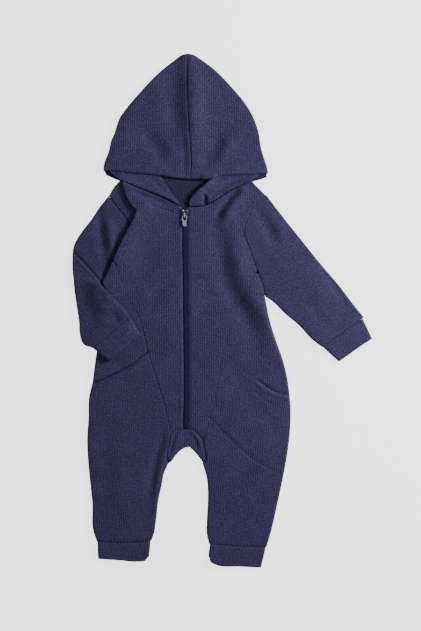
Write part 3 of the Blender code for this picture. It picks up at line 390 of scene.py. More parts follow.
FRONT_FOLDS = folds(
    (((-144, 188), (-138, 164), (-124, 147), (-136, 120), (-155, 81), (-174, 42)), 26, 6.6, 0.7, 0.7),
    (((20, 174), (8, 160), (-2, 146), (-14, 130)), 4.2, -2.9, 0.8, 0.2),
    (((32, 172), (19, 156), (8, 140), (0, 126)), 7, 4.8, 0.8, 0.2),
    (((-124, 171), (-96, 160), (-74, 152)), 4.5, -2.6, 0.9, 0.3),
    (((-13, 168), (-1, 171), (12, 176)), 4, -2.2, 0.8, 0.8),
    (((-8, 126), (-5, 100), (-2, 74), (6, 36), (27, 6), (40, -24), (46, -66)), 13, -2.9, 0.3, 0.1),
    (((16, 126), (19, 96), (22, 70), (31, 36), (50, 7), (64, -20)), 14, 4.8, 0.3),
    (((54, 24), (63, -2), (74, -38), (88, -92)), 22, 2.8, 0.4, 0.1),
    (((56, 84), (60, 50), (70, 8), (84, -50)), 32, 3.4, 0.4, 0.3),
    (((34, 86), (40, 52), (54, 18)), 9, 0.9),
    (((52, 30), (62, -12), (74, -60)), 9, 1.0),
    (((-30, 60), (-22, 10), (-26, -50)), 16, -0.7),
    (((-84, -158), (-87, -187), (-98, -222), (-104, -254), (-108, -284)), 6.5, -2.7),
    (((-80, -190), (-88, -222), (-94, -254), (-99, -300)), 4.5, 1.8),
    (((-19.6, -152), (-10, -162), (-4, -169.7), (16, -190), (44, -215), (78, -233)), 1.1, -0.85, 0.9, 0.7),
    (((-18, -147), (-6, -160), (20, -184), (48, -208), (80, -228)), 5, 0.4, 0.8, 0.6),
    (((-100, 118), (-112, 60), (-104, 10)), 20, -1.0),
    (((-120, 150), (-108, 130), (-92, 118)), 8, -0.8),
    (((-119, 169.7), (-108, 159.5), (-97, 150.8), (-72.5, 143.6)), 1.8, -1.3, 0.8, 0.6),
    (((-150, -160), (-148, -230), (-144, -300)), 18, 0.8),
    (((-170, -140), (-168, -220), (-165, -300)), 12, -0.7),
    (((30, -240), (26, -290), (24, -325)), 12, -1.0),
    (((60, -150), (66, -200), (58, -260)), 14, 0.7),
    (((-107, -60), (-133, -79), (-162, -94), (-185, -104)), 2.6, -1.5, 0.9, 0.9),
    (((-104, -67), (-133, -87), (-162, -102), (-183, -111)), 4, 1.0, 1.0, 1.0),
    (((46, -97), (58, -105), (66, -111), (76, -117), (97, -122)), 2.2, -1.7, 0.0, 1.0),
    (((36, -108), (58, -126), (80, -139)), 1.8, -0.5),
    (((40, -99), (65, -116), (95, -127)), 4, 0.5, 0.0, 1.0),
    (((-78, 60), (-70, 0), (-72, -60)), 14, 0.5),
    (((-54.5, -181), (-55.4, -195)), 1.6, -1.3, 0.6, 0.6),
    (((-65, -176), (-72, -190), (-76, -206)), 2.0, -1.1, 0.6, 0.6),
    (((-42, -176), (-34, -186), (-30, -200)), 2.4, 0.8, 0.6, 0.6),
    (((-61, -176), (-65, -188), (-70, -202)), 2.6, 1.5, 0.6, 0.6),
    (((-44, -181), (-38, -190), (-35, -201)), 2.0, -1.2, 0.4, 0.6),
)
HOOD_FOLDS = folds(
    (((-46, 192), (-90, 197), (-160, 204)), 9, 1.6, 0.7, 0.6),
    (((-46, 192), (0, 195), (58, 199)), 9, 1.6, 0.7, 0.6),
    (((-34, 193), (-18, 193), (-4, 196)), 9, 3.4, 0.3, 0.3),
    (((-66, 350), (-72, 330), (-74, 303), (-67, 277), (-64, 252)), 15, -3.6, 0.4),
    (((-47, 364), (-43, 335), (-41, 306), (-41, 265), (-42, 225)), 16, 5.4, 0.5, 0.3),
    (((-58, 262), (-54, 230), (-55, 198)), 4, -1.3, 0.3, 0.6),
    (((-114, 262), (-98, 238), (-80, 214)), 12, -3.5, 0.2, 0.2),
    (((-90, 262), (-76, 240), (-66, 220)), 9, 1.2),
    (((-130, 300), (-140, 262), (-150, 232)), 12, 0.7),
    (((2, 260), (-9, 240), (-23, 222), (-32, 211)), 11, -3.5, 0.2, 0.2),
    (((16, 252), (6, 234), (-8, 214)), 8, 1.8),
    (((-30, 212), (-24, 200)), 7, -1.0, 0.3, 0.8),
    (((14, 312), (30, 270), (40, 236)), 16, 0.9),
    (((-20, 330), (-8, 290), (-14, 250)), 14, -0.5),
    (((-100, 330), (-112, 290), (-104, 262)), 13, -0.8),
)
SLEEVE_FOLDS = folds(
    (((-214, 79), (-205, 69), (-193, 56.5), (-181, 44), (-174, 38)), 2.2, 0.9, 0.8, 1.0),
    (((-213, 83), (-203, 73), (-191, 60), (-179, 46.5)), 1.5, -1.9, 0.8, 1.0),
    (((-138, 116), (-146, 98), (-156, 78), (-168, 54)), 4.0, -2.6, 0.2, 1.0),
    (((-178, 148), (-177, 128), (-175, 104), (-171, 72)), 6, -2.8, 0.6, 0.3),
    (((-164, 140), (-163, 120), (-161, 100), (-158, 80)), 6, 2.6, 0.2),
    (((-146, 128), (-148, 108), (-160, 84)), 5, -1.0),
    (((-196, 40), (-176, 12), (-160, -8)), 7, 0.9),
    (((-206, 30), (-190, 0), (-176, -30)), 9, -0.8),
    (((-156, 2), (-157, -8), (-153, -14)), 4, -2.0, 0.3, 1.0),
    (((-143, 3), (-142, -6)), 5, 1.0, 0.6, 1.0),
    (((-190, 60), (-168, 36), (-146, 12)), 2.6, 0.7, 0.6, 0.3),
    (((-194, 56), (-172, 31), (-150, 8)), 2.2, -0.7, 0.6, 0.3),
    (((46, 156), (56, 138), (68, 116), (82, 92)), 9, -2.6, 0.3, 0.2),
    (((63, 152), (77, 129), (92, 104)), 9, 1.4),
    (((140, 66), (160, 42), (178, 18)), 7, -2.2, 0.2, 0.2),
    (((106, 84), (134, 40), (160, 6)), 12, 1.0),
    (((60, 150), (58, 118), (60, 84)), 7, 1.0),
    (((118, 20), (140, -8), (162, -28)), 8, -0.9),
    (((176, 8), (168, -18), (160, -34)), 6, -0.8),
    (((150, 46), (174, 16), (192, -8)), 6, -0.6),
)
BAND_FOLDS = folds(
    (BAND_LOW_LEFT, 6.5, 4.4, 1.0, 0.8),
    (BAND_LOW_RIGHT, 6.5, 2.8, 1.0, 0.3),
    (((-14, 194), (-24, 182), (-36, 171), (-44, 162)), 7, 5.6, 0.75, 0.5),
    (((-13, 166.5), (0, 170), (11, 174.5)), 2.6, -3.0, 0.7, 0.5),
    (((-24.7, 165.5), (-24.9, 155)), 2.8, -4.4, 0.8, 0.8),
    (((-150, 196), (-110, 190), (-84, 172)), 6, 0.7, 0.5, 0.5),
    (((-118, 198), (-98, 188), (-84, 172)), 3, -0.8, 0.5, 0.5),
    (((-30, 166), (-12, 178), (10, 190)), 4, 0.8, 0.5, 0.5),
)

FRONT = Lay(LOFT, FRONT_FOLDS, 0.35)
UNDER_LIP = Lay(LOFT)
HOOD = Lay(7.8, HOOD_FOLDS, 0.35)
SLEEVE = Lay(LOFT, SLEEVE_FOLDS, 0.35)
CUFF = Lay(7.4, (), 0.12)
FLOOR = Lay(0.0)
BAND = Lay(5.4, BAND_FOLDS, 0.15)


def back_partner(points: Array) -> Array:
    """Return the height of the cloth that the back's turned edge meets."""
    under_lip = (points[..., 0] < -130) & (points[..., 1] > 100)
    return np.where(under_lip, UNDER_LIP(points), FRONT(points))


def on_front(points: Array) -> Array:
    """Return the height at which cloth lies on the front; it eases down to the floor beside it."""
    edge = np.interp(points[..., 1], (-58, -30, 0, 24, 42, 60), (-180, -171, -167, -168, -174, -166))
    return (FRONT(points) + LAY_GAP) * ease((points[..., 0] - edge + 44.0) / 48.0)


# ---- walls of knit
class Grain(Enum):
    """Which way the knit's ribs run on a piece."""

    SQUARE = "up and down the romper"
    ALONG = "along the piece's own length"


@dataclass(frozen=True)
class Edge:
    """How a wall ends at one side; angle and fixed may give one value for each coarse section."""

    angle: float | Array = 0.0
    radius: float = 0.0
    fixed: float | Array = 0.0
    inset: float = 0.1
    outset: float | Array = EDGE_OUTSET
    steps: int = 8


@dataclass
class Span:
    """The plan of a cloth piece: straight sections between two edges, bent at both ends like its seams."""

    left: Array
    right: Array
    top: Array | None = None
    bottom: Array | None = None
    fine: int = 8
    laps: tuple[float, float] = (SEAM_LAP, SEAM_LAP)

    def place(self, u: Array) -> Array:
        """Return plan points.

        The point is (1 - u) of the left edge plus u of the right one, plus each end seam's bow from
        its own chord, which fades as the square of the distance from that end.

        Args:
            u: (rows, columns) positions across, from 0 to 1.

        Returns:
            (rows, columns, 2) points.
        """
        rows = len(self.left)
        v = np.linspace(0.0, 1.0, rows)[:, None, None]
        points = (1 - u)[..., None] * self.left[:, None] + u[..., None] * self.right[:, None]
        for line, share in ((self.top, (1 - v) ** 2), (self.bottom, v ** 2)):
            if line is not None:
                t = np.linspace(0.0, 1.0, len(line))
                bow = line - (1 - t)[:, None] * line[0] - t[:, None] * line[-1]
                points = points + share * np.stack([np.interp(u, t, bow[:, k]) for k in (0, 1)], axis=-1)
        for end, inner, lap in ((0, 1, self.laps[0]), (-1, -2, self.laps[1])):
            step = points[inner] - points[end]
            points[end] -= lap * step / np.linalg.norm(step, axis=-1, keepdims=True)
        return points

    def lengths(self) -> Array:
        """Return each section's length, as a column."""
        u = np.broadcast_to(np.linspace(0.0, 1.0, 33), (len(self.left), 33))
        return np.linalg.norm(np.diff(self.place(u), axis=1), axis=2).sum(1)[:, None]

    def spread(self, value: float | Array) -> Array:
        """Spread a value over the fine rows.

        Args:
            value: one value, or one for each coarse section.

        Returns:
            A column.
        """
        rows = len(self.left)
        if np.ndim(value) == 0:
            return np.full((rows, 1), float(value))
        return np.interp(np.arange(rows) / self.fine, np.arange(len(value)), value)[:, None]


@dataclass
class Cloth:
    """The two sides of a wall on one grid, and each point's place in the knit."""

    outer: Array
    inner: Array
    grain: Array
    closed: bool = False


@dataclass(frozen=True)
class Sewing:
    """How sewn edges sink: depth, width and each edge's share; a side may have one a coarse section."""

    depth: float = 1.4
    width: float = 1.2
    left: float | Array = 1.0
    right: float | Array = 1.0
    top: float = 1.0
    bottom: float = 1.0

    def sink(self, gaps: Sequence[Array], shares: Sequence[Array | float]) -> Array:
        """Return how far the outer side sinks: the largest share of a bell curve of each edge's distance.

        Args:
            gaps: distances from the left, right, top and bottom edges.
            shares: how much each edge takes part.

        Returns:
            Depths for the whole grid.
        """
        parts = [share * np.exp(-(gap / self.width) ** 2) for gap, share in zip(gaps, shares)]
        return self.depth * np.max(np.broadcast_arrays(*parts), axis=0)


def curl(at: Array, radius: Array, phi: Array, sign: float) -> Array:
    """Follow a section's end round its turn: circles of the radius outside and of one less the knit inside.

    Args:
        at: how far along the section each column would lie if it were flat.
        radius: the outer side's radius.
        phi: each column's angle.
        sign: 1 for the left end, -1 for the right one.

    Returns:
        Six grids: where along the section the height is read, the outer side lies, the knit is taken
        and the inner side lies, and how far the outer and the inner side drop.
    """
    small = radius - KNIT
    return np.stack([at, at - sign * radius * np.sin(phi), at - sign * radius * phi,
                     at - sign * small * np.sin(phi), radius * (1 - np.cos(phi)),
                     radius - small * np.cos(phi)])


def wall(span: Span, over: Height, side: int, edges: tuple[Edge, Edge], columns: int,
         base: Height = FLOOR, grain: Grain = Grain.SQUARE, turn: float = 0.0,
         sewing: Sewing | None = Sewing()) -> Cloth:
    """Build a wall of knit over a plan.

    Each section runs flat at the height of over, or of base for a lower layer, and its ends turn
    through the edges' angles: the outer side on a circle of the edge's radius and the inner side on
    one smaller by the cloth's thickness. An edge with no fixed radius turns to half
    way between base and over. Where an edge isn't turned it lies flat.

    Args:
        span: the plan.
        over: height of the upper side.
        side: 1 for an upper layer, -1 for a lower one.
        edges: the left and the right edge.
        columns: grid columns across the flat part.
        base: height of what lies below.
        grain: which way the knit runs.
        turn: angle of a square grain, in degrees.
        sewing: how the sewn edges sink, or None.

    Returns:
        The wall.
    """
    rows = len(span.left)
    length = span.lengths()
    surface = over if side > 0 else base
    angles = [span.spread(edge.angle) for edge in edges]
    taken = sum(edge.inset + (edge.radius or LOFT / 2) * np.sin(np.radians(np.minimum(angle, 90.0)))
                for edge, angle in zip(edges, angles))
    flat_turn = np.minimum(EASE_RUN, EASE_SHARE * (length - taken))
    starts, turns, shares = [], [], []
    for edge, angle, end in zip(edges, angles, (0.0, 1.0)):
        corner = span.place(np.full((rows, 1), end))
        tall, low = over(corner), base(corner)
        middle = low + (tall - low) / 2
        fixed = span.spread(edge.fixed)
        radius = fixed * edge.radius + (1 - fixed) * np.abs((tall if side > 0 else low) - middle)
        share = np.minimum(angle / 90.0, 1.0)
        bend = np.radians(angle)
        reach = radius * np.sin(np.minimum(bend, math.pi / 2)) + (1 - share) * flat_turn
        part = np.linspace(1.0, 0.0, edge.steps + 1)[:-1][None]
        turns.append((radius, part * bend, part * (1 - share) * flat_turn))
        free = share * (1 - fixed)
        starts.append(edge.inset * (1 - free) - span.spread(edge.outset) * free + reach)
        shares.append(1 - share)
    even = np.linspace(0.0, 1.0, columns + 1)[None]
    crowded = even - CROWDING * np.sin(math.tau * even)
    flat = starts[0] + crowded * (length - starts[0] - starts[1])
    left, right = (curl(root - sign * flat_part, radius, phi, sign) for (radius, phi, flat_part), root, sign
                   in zip(turns, (starts[0], length - starts[1]), (1.0, -1.0)))
    straight = np.stack([flat, flat, flat, flat, 0 * flat, 0 * flat + KNIT])
    grids = np.concatenate([left, straight, right[..., ::-1]], axis=2)
    level_at, out_at, arc_at, in_at, drop_out, drop_in = grids
    level = surface(span.place(level_at / length))
    out_xy = span.place(out_at / length)
    v = np.linspace(0.0, 1.0, rows)[:, None]
    down = v * np.linalg.norm(np.diff(out_xy, axis=0), axis=2).sum(0).max()
    sink = 0.0
    if sewing is not None:
        shares = [share * span.spread(part) for share, part in zip(shares, (sewing.left, sewing.right))]
        sink = sewing.sink((out_at, length - out_at, down, down[-1] - down),
                           (*shares, sewing.top, sewing.bottom))
    outer = np.dstack([out_xy, level - side * (drop_out + sink)])
    inner = np.dstack([span.place(in_at / length), level - side * np.maximum(drop_in, sink + 0.4)])
    if grain is Grain.SQUARE:
        c, s = math.cos(math.radians(turn)), math.sin(math.radians(turn))
        plan = span.place(arc_at / length)
        knit = np.dstack([c * plan[..., 0] + s * plan[..., 1], c * plan[..., 1] - s * plan[..., 0]])
    else:
        middle = (span.left + span.right) / 2
        run = np.concatenate(([0.0], np.cumsum(np.linalg.norm(np.diff(middle, axis=0), axis=1))))
        knit = np.dstack([arc_at - length / 2, np.broadcast_to(run[:, None], arc_at.shape)])
    return Cloth(outer, inner, knit)


def tube(span: Span, loft: Height, columns: int, base: Height = FLOOR, sewing: Sewing | None = Sewing(),
         outset: float | Array = EDGE_OUTSET) -> Cloth:
    """Build a flattened tube: an upper wall and a lower one whose turned edges meet half way up.

    Args:
        span: the plan.
        loft: thickness of the tube as it lies.
        columns: grid columns across each layer.
        base: height of what lies below.
        sewing: how its sewn ends sink.
        outset: how far its edges stand out from the plan.

    Returns:
        The tube, as one grid that closes on itself.
    """
    edge = Edge(angle=90.0, outset=outset)
    over = lambda points: loft(points) + base(points)
    layers = [wall(span, over, side, (edge, edge), columns, base, Grain.ALONG, sewing=sewing)
              for side in (1, -1)]
    return Cloth(*(np.concatenate([getattr(layers[0], key), getattr(layers[1], key)[:, ::-1]], axis=1)
                   for key in ("outer", "inner", "grain")), closed=True)


def allowance(path: Array, width: float, height: Height, under: float = 2.4, thick: float = 0.7) -> Cloth:
    """Build the seam allowance that closes a seam from inside: a ribbon square to the path, below the cloth.

    Args:
        path: points of the seam.
        width: the ribbon's width, half to each side.
        height: the cloth's height over the seam.
        under: how far the ribbon lies below it.
        thick: the ribbon's thickness.

    Returns:
        The ribbon.
    """
    across = headings(path)[1]
    shares = np.linspace(-0.5, 0.5, 5) * width
    plan = path[:, None] + shares[:, None] * across[:, None]
    level = height(path)[:, None] - under + 0 * shares
    outer = np.dstack([plan, level])
    return Cloth(outer, outer - np.array([0.0, 0.0, thick]), plan)


def link(data: bpy.types.ID) -> bpy.types.Object:
    """Put a mesh, a light or a camera into the scene.

    Args:
        data: what the object holds, which also names it.

    Returns:
        The object.
    """
    made = bpy.data.objects.new(data.name, data)
    bpy.context.collection.objects.link(made)
    return made


def hang(mesh: bpy.types.Mesh, finish: bpy.types.Material, node: str | None = None,
         body: str = BODY) -> bpy.types.Object:
    """Put a mesh into the scene as a piece of the part.

    Args:
        mesh: the piece's mesh, which also names it.
        finish: its material.
        node: the solid that it stands for, if any.
        body: the body that it rides on.

    Returns:
        The piece.
    """
    mesh.materials.append(finish)
    made = link(mesh)
    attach(made, body)
    if node is not None:
        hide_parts(node)
    return made


def mesh_from(name: str, points: Array, faces: Array, smooth: float = 50.0) -> bpy.types.Mesh:
    """Make a mesh.

    The faces' signed volume, a sixth of the sum of each triangle's scalar triple product, tells
    whether they point inwards, and then they are all reversed.

    Args:
        name: the mesh's name.
        points: (n, 3) points in millimetres.
        faces: (m, 4) corner numbers.
        smooth: edges sharper than this, in degrees, are shaded sharp.

    Returns:
        The mesh, in metres.
    """
    a, b, c, d = (points[faces[:, k]] for k in range(4))
    volume = np.einsum("ij,ij->i", a, np.cross(b, c)).sum() + np.einsum("ij,ij->i", a, np.cross(c, d)).sum()
    if volume < 0:
        faces = faces[:, ::-1]
    mesh = bpy.data.meshes.new(name)
    mesh.from_pydata((points * MM).tolist(), [], faces.tolist())
    mesh.shade_smooth()
    mesh.set_sharp_from_angle(angle=math.radians(smooth))
    return mesh


def grid_faces(rows: int, columns: int, closed: bool = False, looped: bool = False) -> Array:
    """Number the quads of a grid whose points run row by row.

    Args:
        rows: its rows.
        columns: its columns.
        closed: whether each row closes on itself.
        looped: whether the last row meets the first.

    Returns:
        (n, 4) corner numbers.
    """
    ids = np.arange(rows * columns).reshape(rows, columns)
    if closed:
        ids = np.concatenate([ids, ids[:, :1]], axis=1)
    if looped:
        ids = np.concatenate([ids, ids[:1]])
    return np.stack([ids[:-1, :-1], ids[1:, :-1], ids[1:, 1:], ids[:-1, 1:]], axis=-1).reshape(-1, 4)


def rod_faces(rings: int, sides: int) -> Array:
    """Number the quads of a rod, with a fan of quads over each end.

    Args:
        rings: rings along the rod.
        sides: points round each ring, an even number.

    Returns:
        (n, 4) corner numbers.
    """
    k = np.arange(0, sides - 2, 2)
    fan = np.stack([0 * k, k + 1, k + 2, k + 3], axis=1)
    return np.concatenate([grid_faces(rings, sides, closed=True), fan, fan[:, ::-1] + (rings - 1) * sides])


def shell(name: str, parts: Sequence[Cloth], finish: bpy.types.Material, node: str,
          painted_shade_inside: bpy.types.Material | None = None) -> bpy.types.Object:
    """Close walls into one solid shell of cloth.

    Points that coincide on both sides are merged. An outer quad's edge that no other quad uses
    backwards lies on the rim, where a narrow quad joins the two sides.

    Args:
        name: the piece's name.
        parts: walls that may share edges.
        finish: its material.
        node: the solid that it stands for.
        painted_shade_inside: the inner side's material, if it differs; a darker copy of the knit there is
            painted shade.

    Returns:
        The piece.
    """
    outer = np.concatenate([part.outer.reshape(-1, 3) for part in parts])
    inner = np.concatenate([part.inner.reshape(-1, 3) for part in parts])
    grain = np.concatenate([part.grain.reshape(-1, 2) for part in parts])
    quads, offset = [], 0
    for part in parts:
        rows, columns = part.outer.shape[:2]
        quads.append(grid_faces(rows, columns, part.closed) + offset)
        offset += rows * columns
    _, first, same = np.unique(np.round(np.hstack([outer, inner]), 3), axis=0, return_index=True,
                               return_inverse=True)
    quads = same.reshape(-1)[np.concatenate(quads)]
    count = len(first)
    a, b = quads.ravel(), np.roll(quads, -1, axis=1).ravel()
    rim = ~np.isin(a * count + b, b * count + a)
    rims = np.stack([b[rim], a[rim], a[rim] + count, b[rim] + count], axis=1)
    faces = np.concatenate([quads, quads[:, ::-1] + count, rims])
    mesh = mesh_from(name, np.concatenate([outer[first], inner[first]]), faces)
    corners = np.empty(len(mesh.loops), np.int32)
    mesh.loops.foreach_get("vertex_index", corners)
    knit = np.concatenate([grain[first], grain[first]]) * MM
    mesh.uv_layers.new(name="knit").data.foreach_set("uv", knit[corners].astype(np.float32).ravel())
    made = hang(mesh, finish, node)
    # The inner side takes the second material: a darker copy of the knit, painted shade inside the garment.
    if painted_shade_inside is not None:
        mesh.materials.append(painted_shade_inside)
        slots = np.zeros(len(faces), np.int32)
        slots[len(quads):2 * len(quads)] = 1
        mesh.polygons.foreach_set("material_index", slots)
    log.info("%s: %d triangles", name, 2 * len(faces))
    return made


def cloth_area(parts: Sequence[Cloth]) -> float:
    """Add up the area of the outer grids: each quad's two triangles by cross product.

    Args:
        parts: the walls.

    Returns:
        Square metres.
    """
    total = 0.0
    for part in parts:
        p = part.outer
        total += np.linalg.norm(np.cross(p[1:, 1:] - p[:-1, :-1], p[1:, :-1] - p[:-1, 1:]), axis=2).sum() / 2
    return total * MM * MM


# ---- shader maths
class Value:
    """A number in a shader; Python's operators on it add Math nodes."""

    def __init__(self, shader: "Shader", socket: bpy.types.NodeSocket) -> None:
        """Keep the shader and the socket that carries the number."""
        self.shader = shader
        self.socket = socket

    def maths(self, operation: str, *values: "Value | float") -> "Value":
        """Add a Math node on these values."""
        node = self.shader.node("ShaderNodeMath", {"operation": operation}, dict(enumerate(values)))
        return Value(self.shader, node.outputs[0])

    def __add__(self, other: "Value | float") -> "Value":
        """Sum."""
        return self.maths("ADD", self, other)

    __radd__ = __add__

    def __mul__(self, other: "Value | float") -> "Value":
        """Product."""
        return self.maths("MULTIPLY", self, other)

    __rmul__ = __mul__

    def __sub__(self, other: "Value | float") -> "Value":
        """Difference."""
        return self.maths("SUBTRACT", self, other)

    def __rsub__(self, other: "Value | float") -> "Value":
        """Difference from a number."""
        return self.maths("SUBTRACT", other, self)

    def __pow__(self, other: "Value | float") -> "Value":
        """Power."""
        return self.maths("POWER", self, other)

    def wave(self) -> "Value":
        """Absolute sine."""
        return self.maths("ABSOLUTE", self.maths("SINE", self))

    def top(self, other: "Value | float") -> "Value":
        """Larger of two."""
        return self.maths("MAXIMUM", self, other)

    def clamped(self, gain: float) -> "Value":
        """Multiply and hold between 0 and 1.

        Args:
            gain: the factor.

        Returns:
            The product.
        """
        scaled = self * gain
        scaled.socket.node.use_clamp = True
        return scaled


class Shader:
    """Builds one Principled material out of nodes."""

    def __init__(self, name: str) -> None:
        """Start a material.

        Args:
            name: its name.
        """
        self.material = bpy.data.materials.new(name)
        self.material.use_nodes = True
        self.tree = self.material.node_tree
        self.principled = self.tree.nodes["Principled BSDF"]

    def node(self, kind: str, settings: dict, inputs: dict) -> bpy.types.Node:
        """Add a node.

        Args:
            kind: the node's type.
            settings: its properties, set first; "stops" fills a colour ramp.
            inputs: socket name, identifier or number to a value, a Value or a socket.

        Returns:
            The node.
        """
        made = self.tree.nodes.new(kind)
        for key, value in settings.items():
            if key == "stops":
                ramp = made.color_ramp
                while len(ramp.elements) < len(value):
                    ramp.elements.new(0.5)
                for element, (at, colour) in zip(ramp.elements, value):
                    element.position = at
                    element.color = (*colour, 1.0)
            else:
                setattr(made, key, value)
        for key, value in inputs.items():
            self.feed(self.find(made.inputs, key), value)
        return made

    @staticmethod
    def find(sockets: bpy.types.bpy_prop_collection, key: str | int) -> bpy.types.NodeSocket:
        """Find a socket by number, identifier or name."""
        named = (s for s in sockets if key in (s.identifier, s.name) and s.enabled)
        return sockets[key] if isinstance(key, int) else next(named)

    def feed(self, socket: bpy.types.NodeSocket, value: object) -> None:
        """Link a socket, or set it.

        Args:
            socket: the input.
            value: a Value or a socket to link to it, or a plain value to set on it.
        """
        if isinstance(value, Value):
            self.tree.links.new(value.socket, socket)
        elif isinstance(value, bpy.types.NodeSocket):
            self.tree.links.new(value, socket)
        else:
            socket.default_value = value

    def set(self, **inputs: object) -> None:
        """Set or link the Principled shader's sockets; an underscore in a name stands for a space."""
        for key, value in inputs.items():
            self.feed(self.principled.inputs[key.replace("_", " ")], value)

    def mix(self, factor: Value | float, first: object, second: object) -> bpy.types.NodeSocket:
        """Mix two colours.

        Args:
            factor: the second colour's share.
            first: a colour or a socket.
            second: the same.

        Returns:
            The mixed colour's socket.
        """
        node = self.node("ShaderNodeMix", {"data_type": "RGBA"},
                         {"Factor_Float": factor, "A_Color": first, "B_Color": second})
        return self.find(node.outputs, "Result_Color")

    def shades(self, factor: Value, colour: "Colour", low: float, high: float) -> bpy.types.NodeSocket:
        """Mix two multiples of a colour."""
        return self.mix(factor, *(paint(tuple(gain * c for c in colour)) for gain in (low, high)))

    def noise(self, vector: bpy.types.NodeSocket, scale: float, detail: float = 2.0) -> Value:
        """Add a noise pattern."""
        node = self.node("ShaderNodeTexNoise", {}, {"Vector": vector, "Scale": scale, "Detail": detail})
        return Value(self, self.find(node.outputs, "Fac"))

    def bump(self, height: Value, distance: float, strength: float = 1.0) -> None:
        """Raise the surface by a height."""
        node = self.node("ShaderNodeBump", {}, {"Height": height, "Distance": distance, "Strength": strength})
        self.set(Normal=node.outputs[0])

    def place(self) -> bpy.types.NodeSocket:
        """Return Object coordinates."""
        return self.node("ShaderNodeTexCoord", {}, {}).outputs["Object"]


Colour = tuple[float, float, float]


def paint(colour: Colour) -> tuple[float, float, float, float]:
    """Return a colour with full alpha."""
    return (*colour, 1.0)


@dataclass(frozen=True)
class WaffleKnit:
    """Heather waffle knit: square cells between raised ribs, spun of dark, violet and pale fibres."""

    ground: Colour = (0.017, 0.0135, 0.045)
    rib: Colour = (0.052, 0.043, 0.124)
    fleck: Colour = (0.150, 0.130, 0.305)
    violet: Colour = (0.064, 0.036, 0.120)
    pitch: float = 0.0026
    depth: float = 0.0005

    def make(self, name: str) -> bpy.types.Material:
        """Make the material.

        The cells come from powers of absolute sines of the knit's own coordinates. Fine noise lays
        the fibres, coarser noise gathers them in clouds, and the widest turns the shade to violet.

        Args:
            name: the material's name.

        Returns:
            The material.
        """
        shader = Shader(name)
        knit = shader.node("ShaderNodeUVMap", {"uv_map": "knit"}, {}).outputs[0]
        split = shader.node("ShaderNodeSeparateXYZ", {}, {"Vector": knit})
        across, along = (Value(shader, split.outputs[k]) for k in (0, 1))
        place = shader.place()
        turns = math.pi / self.pitch
        wander = (shader.noise(place, 90.0) - 0.5) * 1.6
        rib = (across * turns + wander).wave() ** 3.0
        course = (along * turns + wander).wave() ** 4.0
        cell = rib.top(course * 0.85)
        base = shader.mix(cell, paint(self.ground), paint(self.rib))
        tint = (shader.noise(place, 34.0, 3.0) - 0.42).clamped(5.0)
        base = shader.mix(tint * 0.45, base, paint(self.violet))
        fibre = (shader.noise(place, 900.0, 2.0) - 0.5).clamped(4.0)
        cloud = (shader.noise(place, 420.0, 3.0) - 0.44).clamped(4.5)
        base = shader.mix(fibre.top(cloud * 0.7) * 0.5, base, paint(self.fleck))
        dark = (shader.noise(place, 520.0, 2.0) - 0.53).clamped(6.0)
        base = shader.mix(dark * 0.4, base, paint(self.ground))
        shader.set(Base_Color=base, Roughness=0.9, Sheen_Weight=0.05, Sheen_Roughness=0.45,
                   Sheen_Tint=(0.6, 0.58, 0.9, 1.0), Specular_IOR_Level=0.2)
        yarn = shader.noise(knit, 1500.0, 1.0)
        shader.bump(cell + yarn * 0.3 + cloud * 0.25, self.depth, 0.9)
        return shader.material


@dataclass(frozen=True)
class WovenTape:
    """The zip's woven tape, with fine cross ribs."""

    colour: Colour = (0.006, 0.005, 0.024)

    def make(self, name: str) -> bpy.types.Material:
        """Make the material: ribs every 0.7 mm from an absolute sine of Y.

        Args:
            name: the material's name.

        Returns:
            The material.
        """
        shader = Shader(name)
        place = shader.place()
        split = shader.node("ShaderNodeSeparateXYZ", {}, {"Vector": place})
        rib = (Value(shader, split.outputs[1]) * (math.pi / 0.0007)).wave()
        fuzz = shader.noise(place, 900.0)
        shade = shader.shades(rib * 0.6 + fuzz * 0.4, self.colour, 1.0, 2.1)
        shader.set(Base_Color=shade, Roughness=0.75)
        shader.bump(rib, 0.00012, 0.6)
        return shader.material


@dataclass(frozen=True)
class NylonCoil:
    """The zip's moulded coil."""

    colour: Colour = (0.014, 0.009, 0.062)

    def make(self, name: str) -> bpy.types.Material:
        """Make the material: smooth nylon with slight unevenness of shade and gloss.

        Args:
            name: the material's name.

        Returns:
            The material.
        """
        shader = Shader(name)
        uneven = shader.noise(shader.place(), 600.0)
        shade = shader.shades(uneven, self.colour, 1.0, 1.5)
        shader.set(Base_Color=shade, Roughness=uneven * 0.2 + 0.45, Specular_IOR_Level=0.2)
        shader.bump(uneven, 0.00003, 0.4)
        return shader.material


@dataclass(frozen=True)
class SewingThread:
    """Spun thread, matched to the knit or a little darker."""

    colour: Colour = (0.040, 0.036, 0.110)

    def make(self, name: str) -> bpy.types.Material:
        """Make the material: a fine fuzz of shade and height.

        Args:
            name: the material's name.

        Returns:
            The material.
        """
        shader = Shader(name)
        fuzz = shader.noise(shader.place(), 2600.0)
        shade = shader.shades(fuzz, self.colour, 0.6, 1.5)
        shader.set(Base_Color=shade, Roughness=0.7)
        shader.bump(fuzz, 0.00005, 0.5)
        return shader.material


@dataclass(frozen=True)
class Enamel:
    """Satin enamel on the zip's slider and pull, worn a little paler."""

    colour: Colour = (0.34, 0.32, 0.50)
    metallic: float = 0.25

    def make(self, name: str) -> bpy.types.Material:
        """Make the material: clouded shade and gloss under a thin clear coat.

        Args:
            name: the material's name.

        Returns:
            The material.
        """
        shader = Shader(name)
        cloud = shader.noise(shader.place(), 380.0, 4.0)
        shade = shader.shades(cloud, self.colour, 0.8, 1.3)
        shader.set(Base_Color=shade, Metallic=self.metallic, Roughness=cloud * 0.2 + 0.2, Coat_Weight=0.5,
                   Coat_Roughness=0.15)
        shader.bump(cloud, 0.00004, 0.3)
        return shader.material


